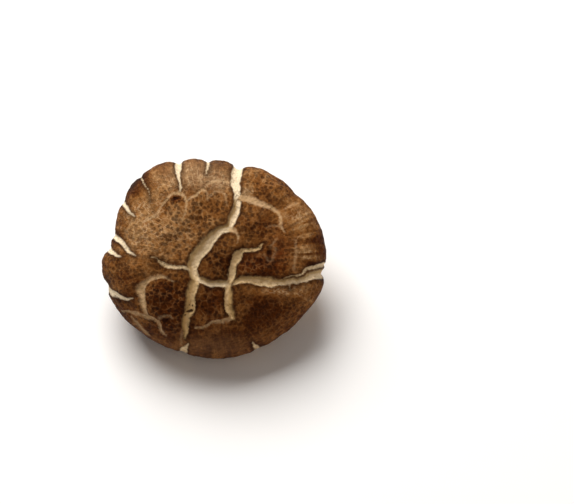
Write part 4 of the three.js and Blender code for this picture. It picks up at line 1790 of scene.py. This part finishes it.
@dataclass(frozen=True)
class Lamp:
    """A square light that faces the mushroom.

    Attributes:
        name: Its name.
        place: Where it hangs, in metres.
        size: Its side.
        watts: Its power.
        colour: Its colour.
    """

    name: str
    place: tuple[float, float, float]
    size: float
    watts: float
    colour: Colour

    def build(self) -> None:
        """Hangs the light, turned towards the scene's origin."""
        data = bpy.data.lights.new(self.name, "AREA")
        data.shape = "SQUARE"
        data.size = self.size
        data.energy = self.watts
        data.color = self.colour[:3]
        lamp = add_object(self.name, data)
        lamp.location = self.place
        lamp.rotation_euler = (-Vector(self.place)).to_track_quat("-Z", "Y").to_euler()


@dataclass(frozen=True)
class Studio:
    """A pale floor, soft light from the upper left, and the camera.

    Attributes:
        floor_size: Side of the floor, in metres.
        floor_level: Its level, a hair below the mushroom.
        floor_colour: Its colour.
        floor_roughness: Its roughness.
        lamps: The window, and a weak warm light from the other side.
        sky_colour: Colour of the even light from all round.
        sky_strength: Its strength.
        picture: The picture's width and height, in pixels.
        cap_width: The cap's width, in metres and in pixels.
        cap_centre: Where the cap's middle stands in the picture, in pixels.
        elevation: The camera's height above the horizon, in degrees.
        distance: From the camera to the mushroom.
        sensor: Width of the camera's sensor, in millimetres.
        clip: The nearest and the farthest that the camera sees, in metres.
    """

    floor_size: float = 3.0
    floor_level: float = -0.00002
    floor_colour: Colour = linear(250, 250, 250)
    floor_roughness: float = 0.7
    lamps: tuple[Lamp, ...] = (
        Lamp("window", (-0.24, 0.52, 0.82), 0.75, 13.6, linear(255, 253, 250)),
        Lamp("fill", (0.5, -0.5, 0.6), 0.8, 1.3, linear(255, 226, 192)),
    )
    sky_colour: Colour = linear(244, 243, 246)
    sky_strength: float = 0.17
    picture: tuple[int, int] = (574, 504)
    cap_width: tuple[float, float] = (0.05, 226.5)
    cap_centre: tuple[float, float] = (213.75, 258.25)
    elevation: float = 60.0
    distance: float = 0.7
    sensor: float = 36.0
    clip: tuple[float, float] = (0.01, 10.0)

    def floor(self) -> None:
        """The floor: a flat square at the ground, and clear when it is seen from below."""
        half = self.floor_size / 2
        square = ((-half, -half), (half, -half), (half, half), (-half, half))
        corners = [(x, y, self.floor_level) for x, y in square]
        mesh = bpy.data.meshes.new("floor")
        mesh.from_pydata(corners, [], [(0, 1, 2, 3)])
        material, shading, shader = new_material("pale_floor")
        shader.inputs["Base Color"].default_value = self.floor_colour
        shader.inputs["Roughness"].default_value = self.floor_roughness
        below = shading.node("ShaderNodeNewGeometry").outputs["Backfacing"]
        clear = shading.node("ShaderNodeBsdfTransparent").outputs[0]
        either = shading.node("ShaderNodeMixShader", {0: below, 1: shader.outputs[0], 2: clear})
        put_out = next(n for n in material.node_tree.nodes if n.type == "OUTPUT_MATERIAL")
        shading.put(put_out.inputs["Surface"], either.outputs[0])
        mesh.materials.append(material)
        add_object("floor", mesh)

    def sky(self) -> None:
        """Even light from all round, and colours that the picture shows as they are."""
        world = bpy.data.worlds.new("studio")
        world.use_nodes = True
        light = next(n for n in world.node_tree.nodes if n.type == "BACKGROUND")
        light.inputs["Color"].default_value = self.sky_colour
        light.inputs["Strength"].default_value = self.sky_strength
        bpy.context.scene.world = world
        bpy.context.scene.view_settings.view_transform = "Standard"

    def camera(self, centre: Vector) -> None:
        """Stands the camera so that the cap has its width and its place in the picture.

        Args:
            centre: The cap's middle, in metres.
        """
        up_angle = np.radians(self.elevation)
        back = Vector((0.0, -np.cos(up_angle), np.sin(up_angle)))
        up = Vector((0.0, np.sin(up_angle), np.cos(up_angle)))
        scale = self.cap_width[0] / self.cap_width[1]
        aside = (self.picture[0] / 2 - self.cap_centre[0]) * scale
        above = (self.cap_centre[1] - self.picture[1] / 2) * scale
        data = bpy.data.cameras.new("camera")
        data.sensor_width = self.sensor
        data.lens = self.sensor * self.distance / (self.picture[0] * scale)
        data.clip_start, data.clip_end = self.clip
        camera = add_object("camera", data)
        camera.location = centre + Vector((aside, 0.0, 0.0)) + up * above + back * self.distance
        camera.rotation_euler = (-back).to_track_quat("-Z", "Y").to_euler()
        bpy.context.scene.camera = camera

    def build(self, centre: Vector) -> None:
        """Builds the floor, the lights and the camera.

        Args:
            centre: The cap's middle, in metres.
        """
        self.floor()
        self.sky()
        for lamp in self.lamps:
            lamp.build()
        self.camera(centre)


def main() -> None:
    """Builds the studio and the mushroom."""
    logging.basicConfig(level=logging.INFO, format="%(name)s: %(message)s")
    form = CapForm()
    placement = Placement()
    middle = np.array([0.0, 0.0, form.limb_height + form.dome_height / 2])
    Studio().build(Vector(placement.place(middle)))
    for piece in Mushroom(form, placement).build():
        log.info("%s: %d faces", piece.name, len(piece.data.polygons))


if __name__ == "__main__":
    main()
